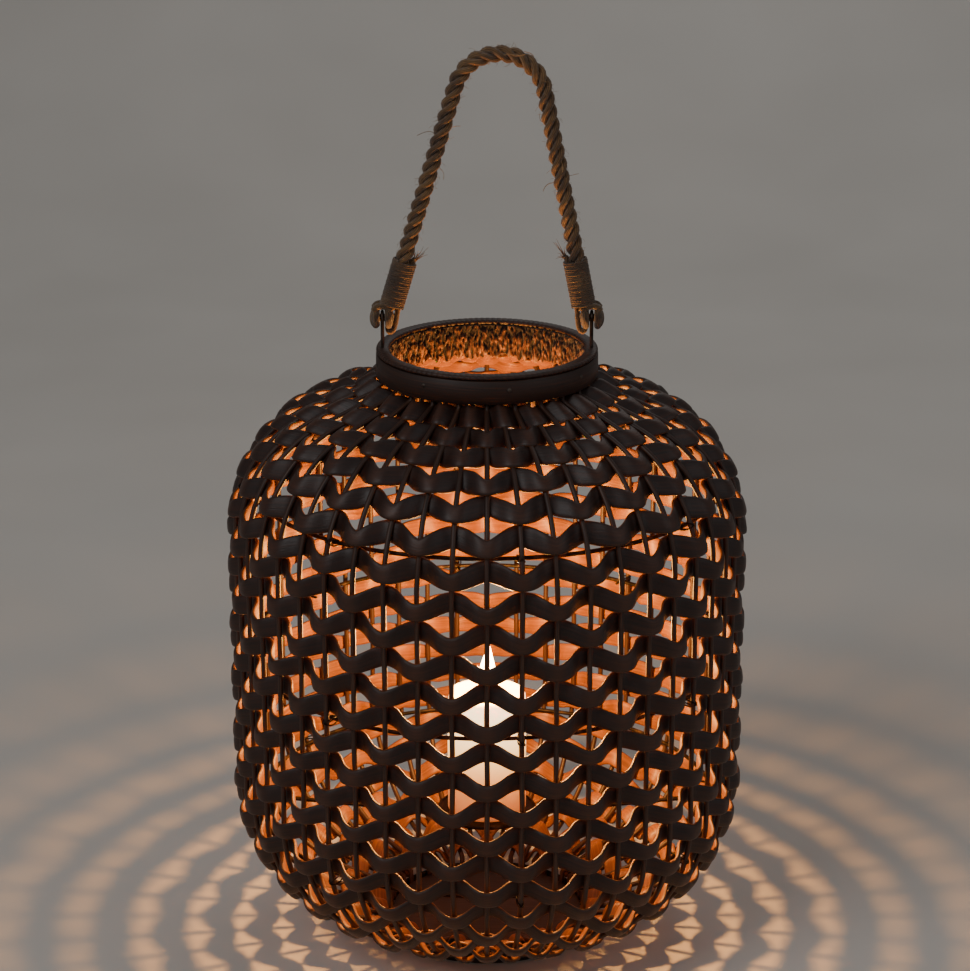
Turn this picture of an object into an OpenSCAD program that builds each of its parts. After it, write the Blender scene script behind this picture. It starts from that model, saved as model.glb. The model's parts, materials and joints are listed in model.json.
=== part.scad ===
// Woven hanging lantern: wavy wefts on upright stakes, a collar, a round foot,
// three wire hoops, a raised pillar candle and a swinging rope handle.
// Z is up, the foot rests on z = 0, and the handle swings about X.

/* [Overall size] */
// Outside diameter of the woven body
body_d = 400; // [334:1:480]
// Height from the floor to the rim
body_h = 478; // [398:1:574]
// Outside diameter of the collar at the mouth
neck_d = 168; // [140:1:200]
// Outside diameter of the foot
foot_d = 166; // [150:1:190]

/* [Weave] */
// Number of upright stakes, a multiple of 16
stake_n = 48; // [32:16:48]
// Diameter of a stake
stake_d = 4; // [3:0.5:4]
// Height of a weft band
weft_w = 13; // [10:0.2:14]
// Thickness of a weft band
weft_t = 4; // [3:0.5:4]
// How far a band rises and falls from its own middle line
wave_h = 4.6; // [3:0.1:5]
// How far the middle rows sit closer to the foot than even spacing
row_ease = 10; // [0:1:10]

/* [Shoulders] */
// Radius of the upper shoulder, outside
upper_r = 105; // [95:1:110]
// Radius of the lower shoulder, outside
lower_r = 115; // [105:1:118]
// Height of the upper shoulder, from the collar down to the straight side
upper_drop = 111; // [105:1:125]
// Height of the lower shoulder, from the straight side down to the foot
lower_drop = 115; // [112:1:130]

/* [Collar and foot] */
// Height of the collar, outside
collar_h = 22; // [18:1:30]
// Thickness of the collar band and of its lining
collar_t = 2.6; // [2:0.1:4]
// Height of the foot band
foot_h = 9; // [8:0.5:14]
// Thickness of the base disc
base_t = 6; // [4:0.5:7]

/* [Hoops and candle support] */
// Diameter of the wire in the hoops and the spokes
wire_d = 3.4; // [2.5:0.1:4]
// Diameter of the wire in the eyes
eye_wire_d = 2.4; // [2:0.1:2.8]
// Diameter of the tie wire
tie_d = 1.2; // [0.8:0.1:1.6]
// Ties on each hoop, a divisor of the number of stakes
tie_n = 8; // [4:4:8]
// How far the candle plate reaches beyond the candle
plate_edge = 7; // [5:0.5:12]
// Thickness of the candle plate
plate_t = 2; // [1.5:0.5:3]
// How far the plate's spokes hang below the lower hoop
plate_drop = 14; // [0:1:30]

/* [Candle] */
// Diameter of the candle
candle_d = 62; // [50:1:76]
// Height of the candle
candle_h = 100; // [60:1:125]

/* [Handle] */
// Diameter of the rope
rope_d = 13; // [10:0.5:15.5]
// Height of the rope's middle at the top, above its pivots
handle_h = 200; // [166:1:240]
// How far inside the eyes the lines of the limbs meet the pivots
limb_in = 3; // [2:0.5:6]
// Radius of the bend at the top of the handle
bend_r = 34; // [28:1:45]
// How far the top of the handle leans to one side
lean = 9; // [0:1:12]
// Length of the whipping on each limb
whip_l = 38; // [25:1:50]
// Thickness of the whipping cord
whip_t = 2.4; // [1.5:0.1:3]
// How much further the whipping stands out over the tail, inside the limb
tail_out = 1.6; // [0:0.1:2]
// Diameter of a knot round its eye
knot_d = 17; // [16:0.5:20]
// Diameter of the rope's core that passes through an eye
core_d = 6; // [4.8:0.2:6.4]
// How far the handle swings to each side, in degrees
swing = 100; // [90:5:110]
// Height of the pivots above the rim
pivot_up = 22; // [20:1:30]

/* [Clearances] */
// Gap between pieces that don't touch
gap = 0.4; // [0.3:0.1:0.6]
// Gap between a stake and the weft that bends round it
weave_gap = 0.8; // [0.6:0.1:1]
// Gap all round a fastener in its hole
snug = 0.05; // [0.02:0.01:0.1]

/* [Hidden] */
weft_n = 25;
$fn = 48;

// The stakes run inside the wall, weave_in below its outer face.
weave_off = stake_d / 2 + weave_gap + weft_t / 2;
weave_in = weave_off + weft_t / 2;
neck_r = neck_d / 2;
foot_r = foot_d / 2;
collar_stake_r = neck_r - collar_t - gap - stake_d / 2;
foot_stake_r = foot_r - collar_t - gap - stake_d / 2;
side_r = body_d / 2 - weave_in;
upper_q = upper_r - weave_in;
lower_q = lower_r - weave_in;
neck_z = body_h - collar_h - weave_in + 2;
foot_z = foot_h + weave_in + gap;
upper_c = [side_r - upper_q, neck_z - upper_drop];
lower_c = [side_r - lower_q, foot_z + lower_drop];

// A slope leaves the collar and the foot and meets its shoulder arc at a tangent.
function len2(v) = sqrt(v[0] * v[0] + v[1] * v[1]);
function tangent_l(p, c, r) = sqrt(pow(len2(c - p), 2) - r * r);
function tangent_a(p, c, r, side) =
    atan2(c[1] - p[1], c[0] - p[0]) + side * asin(r / len2(c - p));

neck_p = [collar_stake_r, neck_z];
foot_p = [foot_stake_r, foot_z];
slope_a = tangent_a(neck_p, upper_c, upper_q, 1);
slope_l = tangent_l(neck_p, upper_c, upper_q);
base_a = tangent_a(foot_p, lower_c, lower_q, -1);
base_l = tangent_l(foot_p, lower_c, lower_q);
upper_deg = 90 + slope_a;
lower_deg = 90 - base_a;

// Lengths along a stake, from the collar down to the foot.
s1 = slope_l;
s2 = s1 + upper_q * upper_deg * PI / 180;
s3 = s2 + upper_c[1] - lower_c[1];
s4 = s3 + lower_q * lower_deg * PI / 180;
s5 = s4 + base_l;

// Direction of the wall, in degrees, at length s: 0 is outward, -90 is down.
function wall_a(s) =
    s < s1 ? slope_a :
    s < s2 ? slope_a - (s - s1) / upper_q * 180 / PI :
    s < s3 ? -90 :
    s < s4 ? -90 - (s - s3) / lower_q * 180 / PI :
    base_a - 180;

// Middle line of a stake at length s, as [radius, height].
function wall_p(s) =
    s < s1 ? neck_p + s * [cos(slope_a), sin(slope_a)] :
    s < s2 ? upper_c + upper_q * [cos(wall_a(s) + 90), sin(wall_a(s) + 90)] :
    s < s3 ? [side_r, upper_c[1] - (s - s2)] :
    s < s4 ? lower_c + lower_q * [cos(wall_a(s) + 90), sin(wall_a(s) + 90)] :
    foot_p + (s5 - s) * [cos(base_a), sin(base_a)];

// Point at length s, moved out along the wall and off it towards the outside.
function wall_at(s, along, off) =
    let (a = wall_a(s))
    wall_p(s) + along * [cos(a), sin(a)] + off * [cos(a + 90), sin(a + 90)];

// Length along the wall of row k's upper edge of its pitch.
function row_s(k) = s5 * k / weft_n + row_ease * pow(sin(180 * k / weft_n), 2);

// Hoops: every six rows, level with the openings there.
hoop_rows = [6, 12, 18];
hoop_in = weave_in + gap + wire_d / 2;
function hoop_p(i) = wall_at(row_s(hoop_rows[i]), 0, -hoop_in);

spoke_z = hoop_p(2)[1] - plate_drop;
candle_z = spoke_z + wire_d / 2 + plate_t + 2 * snug;
pivot_z = body_h + pivot_up;
eye_r = core_d / 2 + gap + eye_wire_d / 2;
rope_up = knot_d / 2 - 1.3;
whip_up = knot_d / 2 + gap;
limb_x = collar_stake_r - limb_in;
top_c = [lean, pivot_z + handle_h - bend_r];

// ---- weave ----

module weft(k) {
    mid = (row_s(k - 1) + row_s(k)) / 2;
    // Each stake takes the band to its outside and down, or its inside and up.
    function sgn(j) = (j + k) % 2 == 0 ? 1 : -1;
    function corner(j, c) =
        wall_at(
            mid,
            sgn(j) * wave_h + (c == 0 || c == 3 ? -weft_w / 2 : weft_w / 2),
            sgn(j) * weave_off + (c < 2 ? weft_t / 2 : -weft_t / 2));
    pts = [for (j = [0:stake_n - 1], c = [0:3])
        let (p = corner(j, c), a = j * 360 / stake_n)
        [p[0] * cos(a), p[0] * sin(a), p[1]]];
    faces = [for (j = [0:stake_n - 1], c = [0:3])
        let (n = (j + 1) % stake_n, d = (c + 1) % 4)
        each [[4 * j + c, 4 * j + d, 4 * n + c],
              [4 * j + d, 4 * n + d, 4 * n + c]]];
    color("#3a1a0c") polyhedron(pts, faces, convexity = 10);
}

module rod(p, a, l, d) {
    // A round rod in the XZ plane from p, l long, at a degrees above X.
    translate([p[0], 0, p[1]])
        rotate([0, 90 - a, 0])
            cylinder(d = d, h = l);
}

module joint(p, d) {
    // A ball a hair thicker than the rods that meet in it.
    translate([p[0], 0, p[1]])
        sphere(d = d * 1.05);
}

module bend(c, q, a0, a1, d) {
    // A round bend in the XZ plane about c, from a0 to a1 degrees.
    translate([c[0], 0, c[1]])
        rotate([90, 0, 0])
            rotate([0, 0, a0])
                rotate_extrude(angle = a1 - a0)
                    translate([q, 0])
                        circle(d = d);
}

module stake() {
    top_l = body_h - 2 * collar_t - gap - neck_z;
    union() {
        rod(neck_p, 90, top_l, stake_d);
        rod(neck_p, slope_a, slope_l, stake_d);
        bend(upper_c, upper_q, 0, upper_deg, stake_d);
        rod([side_r, lower_c[1]], 90, upper_c[1] - lower_c[1], stake_d);
        bend(lower_c, lower_q, -lower_deg, 0, stake_d);
        rod(foot_p, base_a, base_l, stake_d);
        for (s = [0, s1, s2, s3, s4, s5])
            joint(wall_p(s), stake_d);
        rod([foot_p[0], collar_t], 90, foot_p[1] - collar_t, stake_d);
    }
}

module stakes(quarter) {
    per = stake_n / 4;
    color("#2c1409")
        for (j = [0:per - 1])
            rotate([0, 0, (quarter * per + j - per / 2) * 360 / stake_n])
                stake();
}

module stakes_right() { stakes(0); }
module stakes_back() { stakes(1); }
module stakes_left() { stakes(2); }
module stakes_front() { stakes(3); }

// ---- wire hoops ----

module hoop(i) {
    color("#2b2622")
        translate([0, 0, hoop_p(i)[1]])
            rotate_extrude()
                translate([hoop_p(i)[0], 0])
                    circle(d = wire_d);
}

module hoop_upper() { hoop(0); }
module hoop_middle() { hoop(1); }
module hoop_lower() { hoop(2); }

module hoop_ties() {
    // Each loop holds a stake and its hoop, slanting through a weft opening.
    step = stake_n / tie_n;
    reach = (hoop_in + stake_d / 2 + wire_d / 2) / 2 + gap + tie_d / 2;
    middle = (stake_d / 2 - hoop_in - wire_d / 2) / 2;
    color("#2b2622")
        for (i = [0:2], j = [0:tie_n - 1])
            let (s = row_s(hoop_rows[i]), p = wall_at(s, 0, middle))
            rotate([0, 0, (j * step + 1) * 360 / stake_n])
                translate([p[0], 0, p[1]])
                    rotate([0, -wall_a(s) - 90, 0])
                        rotate([45, 0, 0])
                            rotate_extrude()
                                translate([reach, 0])
                                    circle(d = tie_d);
}

// ---- collar ----

module tube(r_out, r_in, z0, z1) {
    translate([0, 0, z0])
        difference() {
            cylinder(r = r_out, h = z1 - z0, $fn = 128);
            translate([0, 0, -1])
                cylinder(r = r_in, h = z1 - z0 + 2, $fn = 128);
        }
}

module radial_nails(n, r0, r1, z, d) {
    // Nails point inward midway between two stakes.
    for (j = [0:n - 1])
        rotate([0, 0, (j * stake_n / n + 1.5) * 360 / stake_n])
            translate([r0, 0, z])
                rotate([0, 90, 0])
                    cylinder(d = d, h = r1 - r0);
}

nail_n = 8;
nail_d = 1.6;
nail_head_d = 3.6;
nail_head_t = 0.8;
rim_t = 4;
collar_low = body_h - collar_h;
lining_low = neck_z - 1;
band_in_r = neck_r - collar_t;
lining_out_r = collar_stake_r - stake_d / 2 - gap;
lining_in_r = lining_out_r - collar_t;
collar_nail_z = body_h - collar_h / 2;
foot_nail_z = foot_h / 2 + 0.5;

module collar_band() {
    color("#241008")
        difference() {
            tube(neck_r, band_in_r, collar_low, body_h - rim_t - snug);
            radial_nails(nail_n, neck_r - 2 * collar_t, neck_r + 1, collar_nail_z, nail_d + 2 * snug);
        }
}

module collar_lining() {
    color("#6b4a2c")
        difference() {
            tube(lining_out_r, lining_in_r, lining_low, body_h - rim_t - snug);
            radial_nails(nail_n, lining_in_r - 1, neck_r, collar_nail_z, nail_d + 2 * snug);
        }
}

module rim_cap() {
    z0 = body_h - rim_t;
    edge = rim_t * 0.4;
    color("#241008")
        difference() {
            rotate_extrude($fn = 128)
                polygon([
                    [lining_in_r, z0], [neck_r, z0],
                    [neck_r, body_h - edge], [neck_r - edge, body_h],
                    [lining_in_r + edge, body_h], [lining_in_r, body_h - edge]]);
            for (x = [-1, 1], y = [-1, 1])
                translate([x * collar_stake_r, y * eye_r, body_h - rim_t - 1])
                    cylinder(d = eye_wire_d + 2 * snug, h = rim_t * 2);
        }
}

module nails(r_out, l, z) {
    radial_nails(nail_n, r_out - l, r_out + nail_head_t, z, nail_d);
    radial_nails(nail_n, r_out + snug, r_out + nail_head_t, z, nail_head_d);
}

module collar_nails() {
    color("#55504a") nails(neck_r, neck_r - lining_in_r - 0.5, collar_nail_z);
}

// ---- foot ----

module foot_band() {
    color("#120a06")
        difference() {
            tube(foot_r, foot_r - collar_t, 0, foot_h);
            radial_nails(nail_n, foot_r - 2 * collar_t, foot_r + 1, foot_nail_z, nail_d + 2 * snug);
        }
}

base_disc_r = foot_stake_r - stake_d / 2 - gap;
base_z = foot_nail_z - base_t / 2;
base_nail_l = 18;

module base_disc() {
    color("#1a0f09")
        difference() {
            translate([0, 0, base_z]) cylinder(r = base_disc_r, h = base_t, $fn = 128);
            radial_nails(nail_n, foot_r - base_nail_l - 1, foot_r, foot_nail_z, nail_d + 2 * snug);
        }
}

module base_nails() {
    color("#55504a") nails(foot_r, base_nail_l, foot_nail_z);
}

// ---- candle and its support ----

plate_r = candle_d / 2 + plate_edge;
plate_rim_d = 3;

module candle_plate() {
    color("#2f2a26")
        translate([0, 0, candle_z - plate_t - snug])
            cylinder(r = plate_r - plate_rim_d / 2 - snug, h = plate_t, $fn = 96);
}

module plate_rim() {
    color("#2f2a26")
        translate([0, 0, candle_z - plate_t / 2])
            rotate_extrude($fn = 96)
                translate([plate_r, 0])
                    circle(d = plate_rim_d);
}

module plate_spokes() {
    // Each spoke runs level under the plate, then rises to the lower hoop.
    knee = [plate_r + 2 * plate_rim_d, spoke_z];
    rise = hoop_p(2) - knee;
    start_r = plate_r / 3;
    color("#2b2622")
        for (a = [0:90:270])
            rotate([0, 0, a])
                union() {
                    rod([start_r, spoke_z], 0, knee[0] - start_r, wire_d);
                    joint(knee, wire_d);
                    rod(knee, atan2(rise[1], rise[0]), len2(rise) - wire_d / 2 - snug, wire_d);
                }
}

wick_d = 2.4;
wick_up = 9;
wick_in = 12;
melt_r = candle_d / 2 - 6;
melt_depth = 2;

module candle() {
    color("#f3e6c4")
        difference() {
            translate([0, 0, candle_z]) cylinder(d = candle_d, h = candle_h, $fn = 96);
            translate([0, 0, candle_z + candle_h - melt_depth]) cylinder(r = melt_r, h = 5, $fn = 96);
            translate([0, 0, candle_z + candle_h - wick_in])
                cylinder(d = wick_d + 2 * snug, h = wick_in + 1);
        }
}

module wick() {
    color("#1b1714")
        translate([0, 0, candle_z + candle_h - wick_in + snug])
            cylinder(d = wick_d, h = wick_in + wick_up);
}

// ---- wire eyes ----

module eye(side) {
    // One wire up between the stakes, over the rope's core and down again.
    leg_low = lining_low + 6;
    color("#3a342e")
        translate([side * collar_stake_r, 0, 0])
            rotate([0, 0, 90])
                union() {
                    bend([0, pivot_z], eye_r, 0, 180, eye_wire_d);
                    for (y = [-eye_r, eye_r]) {
                        joint([y, pivot_z], eye_wire_d);
                        rod([y, leg_low], 90, pivot_z - leg_low, eye_wire_d);
                    }
                }
}

module eye_left() { eye(-1); }
module eye_right() { eye(1); }

// ---- rope handle ----

function limb_foot(side) = [side * limb_x, pivot_z];
function limb_a(side) = tangent_a(limb_foot(side), top_c, bend_r, side > 0 ? -1 : 1);
function limb_l(side) = tangent_l(limb_foot(side), top_c, bend_r);

module limb(side) {
    a = limb_a(side);
    rod(limb_foot(side) + rope_up * [cos(a), sin(a)], a, limb_l(side) - rope_up, rope_d);
}

module handle_rope() {
    color("#9a7446")
        union() {
            limb(-1);
            limb(1);
            bend(top_c, bend_r, limb_a(1) - 90, limb_a(-1) + 90, rope_d);
            joint(limb_foot(1) + limb_l(1) * [cos(limb_a(1)), sin(limb_a(1))], rope_d);
            joint(limb_foot(-1) + limb_l(-1) * [cos(limb_a(-1)), sin(limb_a(-1))], rope_d);
        }
}

module whipping(side) {
    // Binds the limb and the tail that lies along its inner side.
    a = limb_a(side);
    p = limb_foot(side) + whip_up * [cos(a), sin(a)];
    color("#7d5a33")
        translate([p[0], 0, p[1]])
            rotate([0, 90 - a, 0])
                difference() {
                    translate([-side * tail_out, 0, 0])
                        cylinder(r = rope_d / 2 + whip_t, h = whip_l);
                    translate([0, 0, -1])
                        cylinder(r = rope_d / 2 + snug, h = whip_l + 2);
                }
}

module whipping_left() { whipping(-1); }
module whipping_right() { whipping(1); }

module eye_room() {
    // The room that an eye and its legs sweep through as the handle swings.
    room_t = eye_wire_d + 2 * gap;
    bridge = (eye_r + eye_wire_d / 2 + gap) / cos(swing - 90);
    rise = knot_d * tan(swing - 90);
    difference() {
        rotate([0, 90, 0])
            cylinder(d = knot_d + 2, h = room_t, center = true);
        rotate([0, 90, 0])
            cylinder(d = core_d, h = room_t + 2, center = true);
        rotate([90, 0, 90])
            linear_extrude(room_t + 2, center = true)
                polygon([
                    [0, bridge], [knot_d, bridge + rise],
                    [knot_d, 2 * knot_d], [-knot_d, 2 * knot_d],
                    [-knot_d, bridge + rise]]);
    }
}

module knot(side) {
    a = limb_a(side);
    start = limb_foot(side) + (rope_up - snug) * [cos(a), sin(a)];
    color("#9a7446")
        difference() {
            translate([side * collar_stake_r, 0, pivot_z])
                difference() {
                    sphere(d = knot_d);
                    eye_room();
                }
            rod(start, a, knot_d, rope_d + 2 * snug);
        }
}

module knot_left() { knot(-1); }
module knot_right() { knot(1); }

weft(1);  // weft_01
weft(2);  // weft_02
weft(3);  // weft_03
weft(4);  // weft_04
weft(5);  // weft_05
weft(6);  // weft_06
weft(7);  // weft_07
weft(8);  // weft_08
weft(9);  // weft_09
weft(10);  // weft_10
weft(11);  // weft_11
weft(12);  // weft_12
weft(13);  // weft_13
weft(14);  // weft_14
weft(15);  // weft_15
weft(16);  // weft_16
weft(17);  // weft_17
weft(18);  // weft_18
weft(19);  // weft_19
weft(20);  // weft_20
weft(21);  // weft_21
weft(22);  // weft_22
weft(23);  // weft_23
weft(24);  // weft_24
weft(25);  // weft_25
stakes_front();
stakes_right();
stakes_back();
stakes_left();
hoop_upper();
hoop_middle();
hoop_lower();
hoop_ties();
collar_band();
collar_lining();
rim_cap();
collar_nails();
foot_band();
base_disc();
base_nails();
eye_left();
eye_right();
candle_plate();
plate_rim();
plate_spokes();
candle();
wick();
handle_rope();
whipping_left();
whipping_right();
knot_left();
knot_right();
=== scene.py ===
import json
import math

import bpy
import numpy as np
from bpy.props import FloatProperty, FloatVectorProperty, IntProperty, PointerProperty, StringProperty
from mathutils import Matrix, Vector


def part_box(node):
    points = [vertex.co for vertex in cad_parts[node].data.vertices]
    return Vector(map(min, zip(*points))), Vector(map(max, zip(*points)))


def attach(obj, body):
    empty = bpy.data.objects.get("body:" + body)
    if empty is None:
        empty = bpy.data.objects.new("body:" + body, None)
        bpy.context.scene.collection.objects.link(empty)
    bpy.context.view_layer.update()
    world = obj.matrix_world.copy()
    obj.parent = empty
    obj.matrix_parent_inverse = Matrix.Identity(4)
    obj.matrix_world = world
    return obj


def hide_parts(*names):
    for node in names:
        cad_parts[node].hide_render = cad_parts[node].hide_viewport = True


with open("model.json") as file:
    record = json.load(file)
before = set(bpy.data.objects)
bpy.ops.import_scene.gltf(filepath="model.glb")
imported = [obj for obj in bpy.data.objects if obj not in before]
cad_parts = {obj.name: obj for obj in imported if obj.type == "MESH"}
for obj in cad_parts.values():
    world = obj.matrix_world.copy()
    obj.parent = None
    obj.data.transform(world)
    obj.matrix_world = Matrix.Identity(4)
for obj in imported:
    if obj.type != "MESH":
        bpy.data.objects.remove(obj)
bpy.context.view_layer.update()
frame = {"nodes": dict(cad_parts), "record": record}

bl_info = {
    "name": "Woven Hanging Lantern",
    "version": (1, 0, 0),
    "blender": (4, 5, 0),
    "location": "View3D > Sidebar > Lantern",
    "description": "Dresses the frame of a woven lantern with wefts, rope, wax and light",
    "category": "Object",
}

MM = 0.001
WEFT_ROWS = 25
HOOP_ROWS = {"hoop_upper": 6, "hoop_middle": 12, "hoop_lower": 18}
# In the frame: the thickness of a weft, and the gaps beside a stake and above the foot.
REED, GAP, FOOT_GAP = 4 * MM, 0.8 * MM, 0.4 * MM
# From the middle of a stake to the collar band, and the thickness of the foot band.
STAKE_ROOM, FOOT_WALL = 2.4 * MM, 2.6 * MM
# Lashings on a hoop, and tacks in a band.
FASTENINGS = 8
BODY, HANDLE, PILLAR = "lantern", "handle", "candle_pillar"
HINGE = next(j for j in frame["record"]["behaviour"]["joints"] if j["name"] == "handle_swing")
PIVOT_Z = HINGE["pos_m"][2]


# ---------------------------------------------------------------- sizes

def metres(name, description, default):
    """A size in metres."""
    return FloatProperty(name=name, description=description, default=default, unit="LENGTH")


def hex_colour(name, description, default):
    """A colour as an sRGB hex value."""
    return StringProperty(name=name, description=description, default=default)


class WeaveSizes(bpy.types.PropertyGroup):
    """Sizes of the woven wall."""
    stakes: IntProperty(name="Stakes", description="Uprights round the body", default=48, min=16)
    stake_d: metres("Stake diameter", "Thickness of an upright", 0.004)
    slack: metres("Slack", "A row stops this far short of the next where they meet", 0.0011)
    lap: metres("Lap", "Rows close up by this much where the wall lies flat", 0.0032)
    steep: FloatProperty(name="Steepness", description="Share by which a reed stands steeper than the wall",
                         default=0.16, min=0.0, max=1.0)
    under: metres("Lower edge", "Lower edge of a row over an opening", 0.0049)
    over: metres("Upper edge", "Upper edge of a row under an opening", 0.0021)
    widen: metres("Shoulder opening", "Edges draw back by this much where the wall lies flat", 0.003)
    draw_in: FloatProperty(name="Draw-in",
                           description="Share by which the weave lies flatter on the shoulder", default=0.42,
                           min=0.0, max=1.0)
    peak: FloatProperty(name="Peak", description="Roundness of an opening's peak", default=0.1, min=0.0)
    thick: metres("Weft thickness", "Thickness of a flat weft", 0.0044)
    clear: metres("Stake gap", "Gap between stake and weft", 0.0008)
    ease: metres("Row ease", "Middle rows sit this much lower", 0.010)
    upper_r: metres("Upper shoulder", "Radius of the upper shoulder", 0.105)
    lower_r: metres("Lower shoulder", "Radius of the lower shoulder", 0.115)
    upper_drop: metres("Upper drop", "Height of the upper shoulder", 0.111)
    lower_drop: metres("Lower drop", "Height of the lower shoulder", 0.115)
    outer: hex_colour("Stain", "Stained face of a weft", "#2F150A")
    worn: hex_colour("Rubbed stain", "Rubbed crests of a weft", "#522A13")
    inner: hex_colour("Inner face", "Face of a weft towards the candle", "#8C5524")


class RopeSizes(bpy.types.PropertyGroup):
    """Sizes of the rope handle."""
    diameter: metres("Rope", "Diameter of the laid rope", 0.013)
    lay: metres("Lay", "Length of one full twist", 0.03)
    bend: metres("Bend", "Radius of the top bend", 0.034)
    lean: metres("Lean", "Sideways lean of the top", 0.009)
    inset: metres("Inset", "Limbs stand this far inside the eyes", 0.003)
    start: metres("Foot", "The rope starts this far above the pivot", 0.0072)
    first: metres("Binding foot", "The binding starts this far above the pivot", 0.0089)
    whip: metres("Binding", "Length of the binding", 0.038)
    twine: metres("Twine", "Diameter of the binding twine", 0.0016)
    tail: metres("Tail", "Radius of the tail strand", 0.0021)
    slot: metres("Slot", "Room in a knot for the eye", 0.0033)
    dark: hex_colour("Dark fibre", "Shaded jute", "#2A180C")
    light: hex_colour("Light fibre", "Dry jute", "#64421F")


class LightSizes(bpy.types.PropertyGroup):
    """The candle's glow and the studio."""
    flame_w: FloatProperty(name="Flame light", description="Power of the candle light, in watts",
                           default=8.0, min=0.0)
    warm: FloatVectorProperty(name="Candle light", description="Colour of the candle light", subtype="COLOR",
                              default=(1.0, 0.44, 0.105))
    studio: FloatProperty(name="Studio", description="Strength of the studio light", default=1.0, min=0.0)
    camera_d: FloatProperty(name="Camera distance", description="From the aim point", default=2.23,
                            unit="LENGTH")
    camera_el: FloatProperty(name="Camera elevation", description="Above the horizon",
                             default=math.radians(18.34),
                             subtype="ANGLE")
    aim_z: FloatProperty(name="Aim height", description="Height the camera looks at", default=0.3664,
                         unit="LENGTH")
    lens: FloatProperty(name="Lens", description="Focal length on a 36 mm sensor, in millimetres",
                        default=107.5)


# ---------------------------------------------------------------- helpers

def linear(hexa):
    """A colour such as #8A5530 as linear RGBA."""
    parts = [int(hexa[i:i + 2], 16) / 255 for i in (1, 3, 5)]
    return [c / 12.92 if c <= 0.04045 else ((c + 0.055) / 1.055) ** 2.4 for c in parts] + [1.0]


def feed(tree, node, inputs):
    """Gives sockets, by name or number, a value or another socket that feeds them."""
    for key, value in inputs.items():
        if isinstance(value, bpy.types.NodeSocket):
            tree.links.new(value, node.inputs[key])
        else:
            node.inputs[key].default_value = value


def add(tree, kind, inputs=None, stops=(), **settings):
    """Adds a node with its settings, its (place, hex) colour stops and what its sockets are given."""
    node = tree.nodes.new(kind)
    for key, value in settings.items():
        setattr(node, key, value)
    feed(tree, node, inputs or {})
    for number, (place, hexa) in enumerate(stops):
        band = node.color_ramp.elements
        stop = band[number] if number < len(band) else band.new(place)
        stop.position, stop.color = place, linear(hexa)
    return node


def grid(points, wrap_u, wrap_v, u=None, v=None):
    """(verts, faces, corner UVs) of a grid of points[i][j]. Open ends of a tube get one face each."""
    n, m = points.shape[:2]
    rows = np.arange(n if wrap_u else n - 1)[:, None]
    cols = np.arange(m if wrap_v else m - 1)[None, :]
    r1, c1 = (rows + 1) % n, (cols + 1) % m
    quads = np.stack([rows * m + cols, r1 * m + cols, r1 * m + c1, rows * m + c1], -1).reshape(-1, 4)
    faces = quads.tolist()
    u = np.arange(n + 1) if u is None else np.asarray(u, float)
    v = np.arange(m + 1) if v is None else np.asarray(v, float)
    ua, ub = u[rows] + 0 * cols, u[rows + 1] + 0 * cols
    va, vb = v[cols] + 0 * rows, v[cols + 1] + 0 * rows
    corners = ((ua, va), (ub, va), (ub, vb), (ua, vb))
    uvs = np.stack([np.stack(p, -1) for p in corners], -2).reshape(-1, 2).tolist()
    if wrap_v and not wrap_u:
        for ring, place in ((range(m - 1, -1, -1), u[0]), (range((n - 1) * m, n * m), u[n - 1])):
            faces.append(list(ring))
            uvs += [[place, v[j]] for j in range(m)]
    return points.reshape(-1, 3), faces, uvs


def join(parts):
    """Several (verts, faces, UVs) as one."""
    verts, faces, uvs, start = [], [], [], 0
    for part in parts:
        verts.append(np.asarray(part[0]))
        faces += [[i + start for i in face] for face in part[1]]
        uvs += part[2]
        start += len(part[0])
    return np.concatenate(verts), faces, uvs


def signed_volume(verts, faces):
    total = 0.0
    for size in {len(f) for f in faces}:
        block = np.array([f for f in faces if len(f) == size])
        for k in range(1, size - 1):
            a, b, c = verts[block[:, 0]], verts[block[:, k]], verts[block[:, k + 1]]
            total += np.einsum("ij,ij->i", a, np.cross(b, c)).sum()
    return total


def linked(name, data):
    """A new object of the scene that holds the data."""
    obj = bpy.data.objects.new(name, data)
    bpy.context.scene.collection.objects.link(obj)
    return obj


def piece(name, shape, material, floats=None):
    """A mesh object with its place in its mesh, faces outwards."""
    verts, faces, uvs = shape
    if signed_volume(verts, faces) < 0:
        turned, place = [], 0
        for face in faces:
            turned += uvs[place:place + len(face)][::-1]
            place += len(face)
        faces, uvs = [f[::-1] for f in faces], turned
    mesh = bpy.data.meshes.new(name)
    mesh.from_pydata(verts.tolist(), [], faces)
    layer = mesh.uv_layers.new(name="UVMap")
    layer.data.foreach_set("uv", np.asarray(uvs, float).ravel())
    for key, values in (floats or {}).items():
        attribute = mesh.attributes.new(key, "FLOAT", "POINT")
        attribute.data.foreach_set("value", np.asarray(values, float).ravel())
    mesh.shade_smooth()
    mesh.materials.append(material)
    return linked(name, mesh)


def paint(node, material):
    """Gives a carried-over node its material."""
    mesh = frame["nodes"][node].data
    mesh.materials.clear()
    mesh.materials.append(material)


def settle(obj, slot, body, *nodes):
    """Hangs a piece on the body it rides on and hides the nodes it stands for. Its slot argument is not used.
    """
    if nodes:
        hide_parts(*nodes)
    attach(obj, body)


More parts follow.
